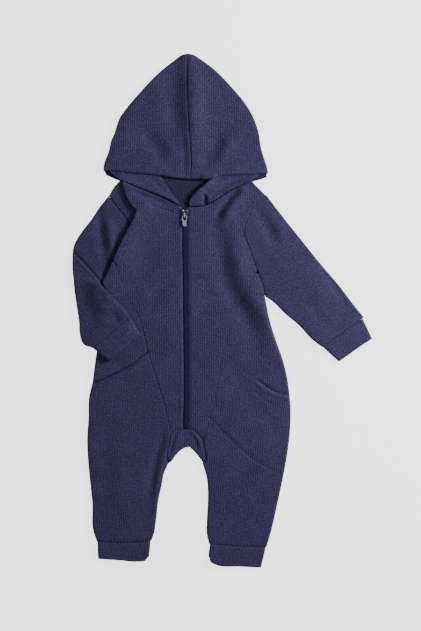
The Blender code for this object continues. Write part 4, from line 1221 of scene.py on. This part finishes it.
@dataclass(frozen=True)
class FloorPaper:
    """The plain pale floor, lit from below as a light table is."""

    colour: Colour = (0.6, 0.6, 0.6)
    glow: float = 2.35

    def make(self, name: str) -> bpy.types.Material:
        """Make the material: even matt paper.

        Args:
            name: the material's name.

        Returns:
            The material.
        """
        shader = Shader(name)
        grainy = shader.noise(shader.place(), 30.0)
        shade = shader.shades(grainy, self.colour, 1.0, 0.99)
        shader.set(Base_Color=shade, Roughness=0.95, Specular_IOR_Level=0.1,
                   Emission_Color=(1.0, 1.0, 1.0, 1.0), Emission_Strength=self.glow)
        return shader.material


# ---- the romper's pieces
@dataclass
class Part:
    """What every sub-assembly shares: its finish and the laying of its pieces."""

    knit: bpy.types.Material
    # A darker copy of the knit for the inner side: painted shade for the shade inside the garment.
    painted_shade_inside: bpy.types.Material | None = None

    def lay(self, node: str, parts: Sequence[Cloth], cut: tuple[float, float],
            rests_on: Sequence[str]) -> bpy.types.Object:
        """Args:
            node: the solid.
            parts: its walls.
            cut: width and length of the flat cloth, in metres.
            rests_on: solids or pieces that it lies on; not used.

        Returns:
            The piece.
        """
        made = shell("knit_" + node, parts, self.knit, node, self.painted_shade_inside)
        area = min(round(cloth_area(parts), 5), round(cut[0] * cut[1], 5))
        return made


@dataclass
class Body(Part):
    """The two centre fronts, the side fronts, the legs' fronts, the gusset, the shoulder and the back."""

    zip_half_width: float = 3.5
    lip_radius: float = 2.4
    lip_angle: float = 110.0
    columns: int = 80
    faint: float = 0.25

    def zip_edge(self, offset: float, steps: int) -> Array:
        """Return points beside the zip's middle line."""
        return smooth_line(ZIP_LINE, steps) + np.array([offset, 0.0])

    def fronts(self) -> None:
        """Make the centre fronts, one with the folded edge beside the bent sleeve."""
        fine, open_edge = 8, Edge(steps=2)
        left = seam(fine, "lip_upper", "lip_middle", "princess_left_upper", "princess_left_lower")
        coarse, lip = sections(left, fine), SEAMS["lip_upper"][0] + SEAMS["lip_middle"][0]
        folded = Edge(np.where(coarse <= lip, self.lip_angle, 0.0), self.lip_radius, 1.0)
        span = Span(left, self.zip_edge(-self.zip_half_width, len(left) - 1), smooth_line(NECK_LEFT),
                    smooth_line(GUSSET_TOP_LEFT), fine)
        sewn = np.where((coarse >= lip) & (coarse < lip + 8), self.faint, 0.5)
        self.lay("front_left", [wall(span, FRONT, 1, (folded, open_edge), self.columns,
                                     sewing=Sewing(left=sewn, top=1.2))], (0.125, 0.37), ["back"])

        right = seam(fine, "shoulder_right", "arm_right_upper", "princess_right_upper",
                     "princess_right_lower")
        coarse, shoulder = sections(right, fine), SEAMS["shoulder_right"][0]
        turned = Edge(np.where(coarse < shoulder, 90.0, 0.0))
        span = Span(self.zip_edge(self.zip_half_width, len(right) - 1), right, smooth_line(NECK_RIGHT),
                    smooth_line(GUSSET_TOP_RIGHT), fine)
        sewn = np.where(coarse < shoulder + 2, 0.7, self.faint)
        self.lay("front_right", [wall(span, FRONT, 1, (open_edge, turned), self.columns,
                                      sewing=Sewing(right=sewn, top=0.4))], (0.125, 0.38), ["back"])

    @staticmethod
    def pointed(line: Array, fine: int) -> Array:
        """Draw in a line's first stretch, where two seams run together in a point.

        Args:
            line: points, one a row.
            fine: points in the stretch.

        Returns:
            The line, which starts at 0.3 of its first stretch.
        """
        tip = line[0] + 0.3 * (line[fine] - line[0])
        t = np.linspace(0.0, 1.0, fine + 1)[:, None]
        return np.concatenate([(1 - t) * tip + t * line[fine], line[fine + 1:]])

    def sides(self) -> None:
        """Make the side fronts, from the armholes down to the pocket mouths."""
        fine, open_edge = 8, Edge(steps=2)
        outer = self.pointed(seam(fine, "lip_lower", "side_left_hidden", "side_left"), fine)
        lipped = sections(outer, fine) <= SEAMS["lip_lower"][0]
        folded = Edge(np.where(lipped, self.lip_angle, 90.0), self.lip_radius, lipped.astype(float))
        span = Span(outer, self.pointed(seam(fine, "princess_left_upper"), fine), None,
                    smooth_line(POCKET_LEFT), fine, (SEAM_LAP, -POCKET_GAP))
        self.lay("side_left", [wall(span, FRONT, 1, (folded, open_edge), self.columns,
                                    sewing=Sewing(right=self.faint, top=0.0))], (0.10, 0.19), ["back"])

        outer = self.pointed(seam(fine, "arm_right_lower", "side_right"), fine)
        turned = Edge(np.where(sections(outer, fine) <= SEAMS["arm_right_lower"][0], 0.0, 90.0))
        span = Span(self.pointed(seam(fine, "princess_right_upper"), fine), outer, None,
                    smooth_line(POCKET_RIGHT), fine, (SEAM_LAP, 0.0))
        sewing = Sewing(left=self.faint, top=0.0, bottom=0.25)
        self.lay("side_right", [wall(span, FRONT, 1, (open_edge, turned), self.columns, sewing=sewing)],
                 (0.11, 0.19), ["back"])

    def legs(self) -> None:
        """Make the legs' fronts, from the pocket mouths down to the ankle seams."""
        fine = 12
        for hand, pocket, ankle, gap, turn, sewn, cut in (
            ("left", POCKET_LEFT, ANKLE_SEAM_LEFT, -POCKET_GAP, -3.0, 0.5, (0.135, 0.29)),
            ("right", POCKET_RIGHT, ANKLE_SEAM_RIGHT, 0.0, 4.0, self.faint, (0.14, 0.30)),
        ):
            inner = bridge(seam(fine, f"princess_{hand}_lower", f"gusset_{hand}"),
                           seam(fine, f"leg_{hand}_inner"), fine)
            coarse, princess = sections(inner, fine), SEAMS[f"princess_{hand}_lower"][0]
            crotch = princess + SEAMS[f"gusset_{hand}"][0]
            lines = [seam(fine, f"leg_{hand}_outer"), inner]
            edges = [Edge(90.0), Edge(np.where(coarse <= crotch, 0.0, 90.0))]
            shares = [1.0, np.where(coarse < princess, sewn, 1.0)]
            order = 1 if hand == "left" else -1
            span = Span(*lines[::order], smooth_line(pocket), smooth_line(ankle), fine, (gap, BAND_LAP))
            sewing = Sewing(left=shares[::order][0], right=shares[::order][1], top=0.0)
            self.lay("leg_" + hand, [wall(span, FRONT, 1, tuple(edges[::order]), self.columns, turn=turn,
                                          sewing=sewing)], cut, ["back"])

    def gusset(self) -> None:
        """Make the crescent between the legs."""
        fine = 6
        sewn = join(seam(fine, "gusset_left")[::-1],
                    seam(fine, "gusset_top_left", "gusset_top_right", "gusset_right"))
        crotch = resample(join(smooth_line(CROTCH_LEFT), smooth_line(CROTCH_RIGHT)), len(sewn) - 1)
        span = Span(sewn, crotch, fine=fine)
        self.lay("gusset", [wall(span, FRONT, 1, (Edge(inset=0.4, steps=3), Edge(90.0)), 12)],
                 (0.09, 0.05), ["back"])

    def shoulder(self) -> None:
        """Make the outer part of the shoulder that shows beside the folded edge."""
        span = Span(smooth_line(SHOULDER_LEFT), smooth_line(SHOULDER_UNDER_LIP), None,
                    smooth_line(ARMHOLE_LEFT_HIDDEN), 10, (SEAM_LAP, 0.6))
        self.lay("shoulder_left", [wall(span, UNDER_LIP, 1, (Edge(90.0), Edge(inset=0.0, steps=3)), 18)],
                 (0.05, 0.07), ["back"])

    def back(self) -> None:
        """Make the back in two halves on one centre line, closed into one piece."""
        fine, centre_rows = 6, 22
        first, last = BACK_ARM_ROWS
        under_arm = np.array([row[2:4] for row in BENT_SLEEVE[first:last]]) + ARM_CLEARANCE
        arm_start = smooth_line(ARMHOLE_LEFT, 3 * fine)
        under_arm = through_rows(np.vstack([arm_start[-1], under_arm]), fine)
        centre = smooth_line(BACK_CENTRE, centre_rows * fine)
        left = bridge(join(smooth_line(SHOULDER_LEFT, 2 * fine), arm_start, under_arm),
                      seam(fine, "side_left_hidden", "side_left", "leg_left_outer"), fine)
        right = seam(fine, "shoulder_right", "arm_right_upper", "arm_right_lower", "side_right",
                     "leg_right_outer")
        halves = []
        for hand, outer, nape, ankle, armpit, order in (
            ("left", left, NAPE_SEAM_LEFT, ANKLE_SEAM_LEFT, 11, 1),
            ("right", right, NAPE_SEAM_RIGHT, ANKLE_SEAM_RIGHT, 12, -1),
        ):
            coarse = sections(outer, fine)
            crotch = seam(fine, "crotch_" + hand)[::-order]
            inner = bridge(join(centre, crotch), seam(fine, f"leg_{hand}_inner"), fine)
            edges = [Edge(np.where((coarse < 2) | (coarse >= armpit), 90.0, 0.0)),
                     Edge(np.where(coarse <= centre_rows, 0.0, 90.0), inset=0.0)]
            span = Span(*[outer, inner][::order], smooth_line(nape), smooth_line(ankle), fine)
            halves.append(wall(span, back_partner, -1, tuple(edges[::order]), 40, sewing=None))
        self.lay("back", halves, (0.33, 0.56), ["floor"])

    def build(self) -> None:
        """Make every piece of the body."""
        self.back()
        self.fronts()
        self.sides()
        self.legs()
        self.gusset()
        self.shoulder()


@dataclass
class Sleeves(Part):
    """Both sleeves and cuffs, and the ankle bands: all flattened tubes."""

    columns: int = 30

    def band(self, node: str, sewn: Path, end: Path, cut: tuple[float, float], rests_on: str,
             base: Height = FLOOR, outset: float | Array = EDGE_OUTSET) -> None:
        """Make a cuff or an ankle band, and the seam allowance under its seam.

        Args:
            node: the solid.
            sewn: the seam that it hangs from.
            end: its free end.
            cut: width and length of the flat cloth, in metres.
            rests_on: what it lies on.
            base: height of what lies below.
            outset: how far its edges stand out from the plan.
        """
        left, right = (smooth_line((sewn[k], end[k]), 16) for k in (0, -1))
        span = Span(left, right, smooth_line(sewn), smooth_line(end), 8, (BAND_LAP, 0.0))
        within = allowance(smooth_line(sewn)[2:-2], 6.0, lambda points: CUFF(points) + base(points))
        self.lay(node, [tube(span, CUFF, self.columns, base, Sewing(bottom=0.0), outset), within], cut,
                 [rests_on])

    def bent(self) -> None:
        """Make the sleeve that climbs onto the front, and its cuff there."""
        fine = 10
        table = through_rows(BENT_SLEEVE, fine)
        lift = table[:, 4:5]
        base = lambda points: lift * on_front(points)
        span = Span(table[:, :2], table[:, 2:4], smooth_line(ARMHOLE_LEFT), None, fine, (0.6, BAND_LAP))
        # Ribbons that close the armhole, the elbow, the underarm, and what shows of the floor below the arm.
        armhole = allowance(smooth_line(ARMHOLE_LEFT_HIDDEN, 60)[2:], 6.0, SLEEVE)
        elbow = allowance(smooth_line(((-158, 74), (-167, 57), (-174, 44), (-175, 30))), 9.0, UNDER_LIP, 5.4)
        under = allowance(smooth_line(((-140, 136), (-135, 127), (-133, 116)), 20), 9.0, UNDER_LIP, 4.3)
        below = allowance(smooth_line(((-179, 50), (-178, 25), (-178, 0)), 30), 24.0, UNDER_LIP, 6.2)
        self.lay("sleeve_left", [tube(span, SLEEVE, self.columns, base), armhole, elbow, under, below],
                 (0.17, 0.24), ["floor", "knit_side_left"])
        end = table[-1]
        self.band("cuff_left", (end[:2], end[2:4]), CUFF_LEFT_END, (0.14, 0.035), "knit_side_left", on_front)

    def straight(self) -> None:
        """Make the sleeve that lies beside the body, its cuff and the ankle bands."""
        fine = 12
        armhole = seam(fine, "arm_right_upper", "arm_right_lower")
        span = Span(smooth_line(SLEEVE_RIGHT_OUTER, 12 * fine), smooth_line(SLEEVE_RIGHT_INNER, 12 * fine),
                    armhole, None, fine, (0.25, BAND_LAP))
        within = allowance(armhole[2:], 6.0, SLEEVE)
        self.lay("sleeve_right", [tube(span, SLEEVE, 60, sewing=Sewing(top=0.4)), within], (0.30, 0.24),
                 ["floor"])
        gathered = np.array((0.5, 1.3, 1.5))
        for node, sewn, end in (
            ("cuff_right", (CUFF_RIGHT_START, SLEEVE_RIGHT_INNER[-1]), CUFF_RIGHT_END),
            ("ankle_band_left", ANKLE_SEAM_LEFT, BAND_LEFT_END),
            ("ankle_band_right", ANKLE_SEAM_RIGHT, BAND_RIGHT_END),
        ):
            self.band(node, sewn, end, (0.17, 0.035), "floor", outset=gathered)

    def build(self) -> None:
        """Make both sleeves and all four bands."""
        self.bent()
        self.straight()


@dataclass
class Hood(Part):
    """The hood's two halves, folded along the outline, and the lower fronts turned over the neck."""

    hem: Edge = Edge(72.0, 2.3, 1.0, steps=6)
    columns: int = 80

    def build(self) -> None:
        """Make the halves and the lower fronts."""
        fine = 8
        rows = 14 * fine
        for node, fold, hem, nape in (
            ("hood_left", HOOD_FOLD_LEFT, HOOD_HEM_LEFT, NAPE_LEFT),
            ("hood_right", HOOD_FOLD_RIGHT, HOOD_HEM_RIGHT, NAPE_RIGHT),
        ):
            outline = smooth_line(fold, rows)
            over = Span(outline, smooth_line(hem, rows), smooth_line(HOOD_CENTRE, 60), None, fine)
            under = Span(outline, smooth_line(nape, rows), smooth_line(HOOD_BACK_CENTRE, 60), None, fine)
            sewing = Sewing(bottom=0.0)
            upper = wall(over, HOOD, 1, (Edge(90.0), self.hem), self.columns, sewing=sewing)
            lower = wall(under, HOOD, -1, (Edge(90.0), Edge(steps=2)), self.columns, sewing=sewing)
            wrap = Cloth(*(np.concatenate([getattr(upper, key)[:, ::-1], getattr(lower, key)], axis=1)
                           for key in ("outer", "inner", "grain")))
            self.lay(node, [wrap], (0.26, 0.34), ["floor"])
        for node, top, low, turn in (
            ("hood_front_left", BAND_TOP_LEFT, BAND_LOW_LEFT, 20.0),
            ("hood_front_right", BAND_TOP_RIGHT, BAND_LOW_RIGHT, -20.0),
        ):
            span = Span(smooth_line(top, 160), smooth_line(low, 160), fine=8)
            cloth = wall(span, BAND, 1, (self.hem, self.hem), 34, turn=turn, sewing=None)
            self.lay(node, [cloth], (0.035, 0.14), ["back"])


@dataclass
class Zip:
    """The zip's two woven tapes and its coil."""

    tape: bpy.types.Material
    coil: bpy.types.Material
    tooth_pitch: float = 1.5
    tooth_radius: float = 0.42
    rows: int = 160

    def tapes(self) -> None:
        """Make the tapes: a profile of offset and height carried along the zip, thickened downwards."""
        line = smooth_line(ZIP_LINE, self.rows)
        offsets = np.array((11.0, 8.0, 5.0, 3.4, 2.6, 2.0, 1.2, 0.5))
        heights = np.array((4.6, 4.6, 4.6, 4.6, 4.75, 4.8, 4.7, 4.6))
        for node, side in (("zip_tape_left", -1.0), ("zip_tape_right", 1.0)):
            outer = np.empty((len(line), len(offsets), 3))
            outer[..., 0] = line[:, None, 0] + side * offsets
            outer[..., 1] = line[:, None, 1]
            outer[..., 2] = heights
            inner = outer - np.array([0.0, 0.0, 0.7])
            cloth = Cloth(outer, inner, outer[..., :2])
            made = shell("tape_" + node[4:], [cloth], self.tape, node)

    def teeth(self) -> None:
        """Make the coil: one bent tooth's rings, repeated down both tapes half a pitch apart."""
        path = np.array(((3.1, 5.0), (2.95, 5.85), (2.1, 6.1), (1.0, 6.15), (0.1, 6.1), (-0.5, 5.9)))
        swell = np.array((0.75, 1.0, 1.0, 1.0, 1.25, 0.7)) * self.tooth_radius
        around = np.arange(6) * math.tau / 6
        normal = headings(path)[1]
        ring = np.empty((len(path), 6, 3))
        ring[..., 0] = path[:, None, 0] + swell[:, None] * np.cos(around) * normal[:, None, 0]
        ring[..., 1] = swell[:, None] * 1.25 * np.sin(around)
        ring[..., 2] = path[:, None, 1] + swell[:, None] * np.cos(around) * normal[:, None, 1]
        line = smooth_line(ZIP_LINE, 640)
        count = int(318 / self.tooth_pitch)
        points = []
        for side, start in ((-1.0, 0.0), (1.0, 0.5)):
            at = 149.0 - (np.arange(count) + start) * self.tooth_pitch
            x = np.interp(-at, -line[:, 1], line[:, 0])
            teeth = np.broadcast_to(ring * np.array([side, 1.0, 1.0]), (count, *ring.shape)).copy()
            teeth[..., 0] += x[:, None, None]
            teeth[..., 1] += at[:, None, None]
            points.append(teeth)
        points = np.concatenate(points)
        faces = rod_faces(len(path), 6)
        flipped = np.arange(len(points))[:, None, None] < count
        offsets = (np.arange(len(points)) * ring.shape[0] * 6)[:, None, None]
        all_faces = np.where(flipped, faces[None, :, ::-1], faces[None]) + offsets
        mesh = mesh_from("zip_coil", points.reshape(-1, 3), all_faces.reshape(-1, 4), 60.0)
        hang(mesh, self.coil)
        log.info("zip_coil: %d teeth", 2 * count)

    def build(self) -> None:
        """Make the tapes and the teeth."""
        self.tapes()
        self.teeth()


@dataclass
class Slider:
    """The zip's slider, a domed plate with two shoulders and a bail, and the pull that hangs in the bail."""

    plate_finish: bpy.types.Material
    bright_finish: bpy.types.Material
    centre: tuple[float, float] = (-54.2, 141.0)
    half_plate: Path = ((0.0, -6.5), (3.2, -6.5), (3.6, -5.5), (3.7, -2.5), (4.9, 1.5), (5.1, 4.4),
                        (4.7, 5.9), (3.9, 6.5), (2.6, 6.5), (1.8, 6.1), (1.0, 5.2))
    underside: float = 7.5
    bail_middle: float = 138.4
    bail_half_length: float = 3.4
    bail_foot: float = 8.4
    bail_rise: float = 2.7
    pull_axis: tuple[float, float, float] = (-54.2, 137.6, 9.7)
    half_pull: Path = ((0.0, 0.75), (1.6, 0.75), (2.9, 0.4), (3.6, -0.8), (3.7, -2.4), (3.4, -4.8),
                       (3.1, -7.0), (2.8, -9.5), (2.8, -12.5), (2.6, -14.3), (1.8, -15.1), (0.0, -15.3))
    half_slot: Path = ((0.0, -0.5), (1.0, -0.5), (1.9, -0.7), (2.4, -1.6), (2.45, -2.8), (2.2, -4.4),
                       (1.7, -5.7), (1.1, -6.4), (0.5, -6.7), (0.0, -6.75))

    @staticmethod
    def loop(half: Path, steps: int) -> Array:
        """Mirror half an outline about x = 0 and space points evenly round the whole."""
        right = np.array(half, float)
        return resample(np.concatenate([right, right[::-1] * (-1.0, 1.0), right[:1]]), steps)[:-1]

    def plate(self) -> None:
        """Make the plate.

        Rings are shares of the outline about its centre, from the flat underside over the rounded
        rim to the middle of the top. Two bell-shaped shoulders rise on the top, and a hollow
        between them sinks.
        """
        outline = self.loop(self.half_plate, 72)
        shares = np.array((0.2, 0.6, 0.93, 1.0, 1.0, 0.97, 0.92, 0.85, 0.75, 0.62, 0.48, 0.32, 0.16))
        rise = np.array((0.0, 0.0, 0.0, 0.2, 0.75, 1.0, 1.15, 1.22, 1.26, 1.3, 1.32, 1.34, 1.35))
        domed = np.clip(np.arange(len(shares)) / 3 - 4 / 3, 0.0, 1.0)
        xy = shares[:, None, None] * outline
        x, y = np.abs(xy[..., 0]), xy[..., 1]
        shoulder = 1.0 * np.exp(-((x - 3.1) ** 2 + (y - 4.6) ** 2) / 1.4 ** 2)
        hollow = 0.45 * np.exp(-(x / 1.4) ** 2 - ((y - 2.0) / 3.5) ** 2)
        z = self.underside + rise[:, None] + domed[:, None] * (shoulder - hollow)
        points = np.dstack([xy + self.centre, z])
        mesh = mesh_from("slider_plate", points.reshape(-1, 3), rod_faces(len(shares), 72))
        hang(mesh, self.plate_finish, "zip_slider")

    def bail(self) -> None:
        """Make the bail: an oval section, 1.6 by 1 mm, carried along a squared arch from foot to foot."""
        turn = np.linspace(0.0, math.pi, 25)
        y = self.bail_half_length * np.sign(np.cos(turn)) * np.abs(np.cos(turn)) ** 0.6
        z = self.bail_rise * np.abs(np.sin(turn)) ** 0.6
        tangent = headings(np.stack([y, z], axis=1))[0]
        around = np.arange(10) * math.tau / 10
        points = np.empty((len(turn), 10, 3))
        points[..., 0] = self.centre[0] + 0.8 * np.cos(around)
        points[..., 1] = self.bail_middle + y[:, None] - 0.5 * np.sin(around) * tangent[:, 1:]
        points[..., 2] = self.bail_foot + z[:, None] + 0.5 * np.sin(around) * tangent[:, :1]
        mesh = mesh_from("slider_bail", points.reshape(-1, 3), rod_faces(len(turn), 10))
        hang(mesh, self.bright_finish)

    def pull(self) -> None:
        """Make the pull: a rimmed section carried round between its outline and its slot.

        Each section point lies at a share of the way from the outline to the slot, at its height
        above or below the middle plane.
        """
        outline, slot = self.loop(self.half_pull, 64), self.loop(self.half_slot, 64)
        shares = np.array((0.0, 0.0, 0.05, 0.12, 0.2, 0.28, 0.72, 0.8, 0.93, 1.0, 1.0, 1.0, 0.93, 0.05, 0.0))
        heights = np.array((0.0, 0.35, 0.52, 0.6, 0.57, 0.42, 0.42, 0.55, 0.52, 0.35, 0.0, -0.35, -0.52,
                            -0.52, -0.35))
        xy = outline[:, None] + shares[:, None] * (slot - outline)[:, None]
        points = np.dstack([xy, np.broadcast_to(heights, xy.shape[:2])]) + np.array(self.pull_axis)
        faces = grid_faces(64, len(shares), closed=True, looped=True)
        mesh = mesh_from("pull_tab", points.reshape(-1, 3), faces)
        hang(mesh, self.bright_finish, "zip_pull", "pull")

    def build(self) -> None:
        """Make the plate, the bail and the pull."""
        self.plate()
        self.bail()
        self.pull()
        log.info("slider_plate, slider_bail and pull_tab made")


@dataclass
class Stitching:
    """Rows of stitches: a short thread bowed over the cloth, repeated along each seam's path."""

    thread: bpy.types.Material
    pitch: float = 3.0
    length: float = 2.3
    radius: float = 0.28
    rise: float = 0.32

    def row(self, path: Array, height: Height) -> Array:
        """Return the rings of every stitch on a path.

        A stitch is a six-sided rod whose axis lies along the path and rises over the cloth by half a
        sine wave; it tapers to both ends, where it enters the knit.

        Args:
            path: points of the row.
            height: the cloth's height.

        Returns:
            (stitches, rings, sides, 3) points.
        """
        lengths = np.concatenate(([0.0], np.cumsum(np.linalg.norm(np.diff(path, axis=0), axis=1))))
        count = int(lengths[-1] / self.pitch)
        rings = np.linspace(-0.5, 0.5, 6)
        at = (np.arange(count) + 0.5)[:, None] * self.pitch + rings * self.length
        xy = np.stack([np.interp(at, lengths, path[:, k]) for k in (0, 1)], axis=-1)
        ahead = np.stack([np.interp(at + 0.5, lengths, path[:, k]) - np.interp(at - 0.5, lengths, path[:, k])
                          for k in (0, 1)], axis=-1)
        ahead /= np.maximum(np.linalg.norm(ahead, axis=-1, keepdims=True), 1e-6)
        across = np.stack([-ahead[..., 1], ahead[..., 0]], axis=-1)
        arch = np.cos(math.pi * rings)
        z = height(xy) - 0.25 + (self.rise + 0.25) * arch
        around = np.arange(6) * math.tau / 6
        size = self.radius * (0.45 + 0.55 * arch)[None, :, None]
        points = np.empty((count, 6, 6, 3))
        points[..., :2] = xy[:, :, None] + across[:, :, None] * (size * np.cos(around))[..., None]
        points[..., 2] = z[:, :, None] + size * np.sin(around)
        return points

    def build(self, name: str, rows: Sequence[tuple[Array, Height]]) -> None:
        """Make one piece out of rows of stitches.

        Args:
            name: the piece's name.
            rows: each row's path and the height of the cloth under it.
        """
        points = np.concatenate([self.row(path, height) for path, height in rows])
        faces = rod_faces(6, 6)
        offsets = (np.arange(len(points)) * 36)[:, None, None]
        mesh = mesh_from(name, points.reshape(-1, 3), (faces[None] + offsets).reshape(-1, 4), 70.0)
        hang(mesh, self.thread)
        log.info("%s: %d stitches", name, len(points))


@dataclass
class Studio:
    """A pale floor, a soft box to the right and a camera straight above."""

    floor: bpy.types.Material
    height: float = 4.0
    frame_height: float = 0.915
    centre: tuple[float, float] = (-0.0167, -0.0065)
    key: float = 19.2
    key_at: tuple[float, float, float] = (1.02, 0.43, 0.70)
    key_size: float = 0.30
    fill: float = 0.27

    def build(self) -> None:
        """Lay the floor, set the lights and the camera."""
        side = 6.0
        mesh = bpy.data.meshes.new("floor")
        mesh.from_pydata([(-side, -side, -0.0004), (side, -side, -0.0004), (side, side, -0.0004),
                          (-side, side, -0.0004)], [], [(0, 1, 2, 3)])
        mesh.materials.append(self.floor)
        floor = link(mesh)
        floor.visible_diffuse = False
        box = bpy.data.lights.new("soft_box", "AREA")
        box.energy = self.key
        box.shape = "SQUARE"
        box.size = self.key_size
        box.color = (1.0, 0.99, 0.98)
        made = link(box)
        made.location = self.key_at
        made.rotation_mode = "QUATERNION"
        made.rotation_quaternion = (-Vector(self.key_at)).to_track_quat("-Z", "Y")
        made.visible_camera = False
        world = bpy.data.worlds.new("studio")
        world.use_nodes = True
        back = world.node_tree.nodes["Background"]
        back.inputs["Color"].default_value = (1.0, 1.0, 1.0, 1.0)
        back.inputs["Strength"].default_value = self.fill
        bpy.context.scene.world = world
        data = bpy.data.cameras.new("camera")
        data.sensor_width = 36.0
        data.lens = 36.0 * self.height / self.frame_height
        data.clip_end = 50.0
        camera = link(data)
        camera.location = (*self.centre, self.height)
        bpy.context.scene.camera = camera


def beside(path: Array, offset: float) -> Array:
    """Return a path moved sideways: each point goes by the offset along its normal, to the path's left."""
    return path + offset * headings(path)[1]


def main() -> None:
    """Build and dress the romper, then the studio."""
    logging.basicConfig(level=logging.INFO, format="%(name)s %(message)s")
    knit = WaffleKnit().make("waffle_knit")
    # The inner side of the body and the hood: darker copies of the knit's colours, painted shade inside the
    # garment.
    painted_shade_inside = WaffleKnit(ground=(0.012, 0.0096, 0.031), rib=(0.036, 0.030, 0.086),
                            fleck=(0.086, 0.074, 0.18), violet=(0.040, 0.023, 0.075))
    painted_shade_inside = painted_shade_inside.make("waffle_knit_wrong_side")
    thread = SewingThread().make("sewing_thread")
    Body(knit, painted_shade_inside).build()
    Sleeves(knit).build()
    Hood(knit, painted_shade_inside).build()
    Zip(WovenTape().make("zip_tape"), NylonCoil().make("zip_coil")).build()
    dark = Enamel((0.085, 0.082, 0.15), 0.65).make("zip_enamel_dark")
    Slider(dark, Enamel().make("zip_enamel")).build()
    line = smooth_line(ZIP_LINE, 320)
    Stitching(thread).build("zip_stitches", [(line + (-8.4, 0.0), FRONT), (line + (8.4, 0.0), FRONT)])
    pocket_rows = [(beside(smooth_line(POCKET_LEFT, 120), -6.5), FRONT),
                   (beside(smooth_line(POCKET_RIGHT, 120), -6.5), FRONT)]
    Stitching(thread).build("pocket_stitches", pocket_rows)
    inside = Lay(KNIT)
    nape_rows = [(np.array(((-84.0, y + 1.5), (-54.0, y), (-24.0, y + 0.6))), inside) for y in (175.6, 180.4)]
    nape_thread = SewingThread((0.014, 0.012, 0.040)).make("nape_thread")
    Stitching(nape_thread, radius=0.34).build("nape_stitches", nape_rows)
    Studio(FloorPaper().make("floor_paper")).build()


if __name__ == "__main__":
    main()
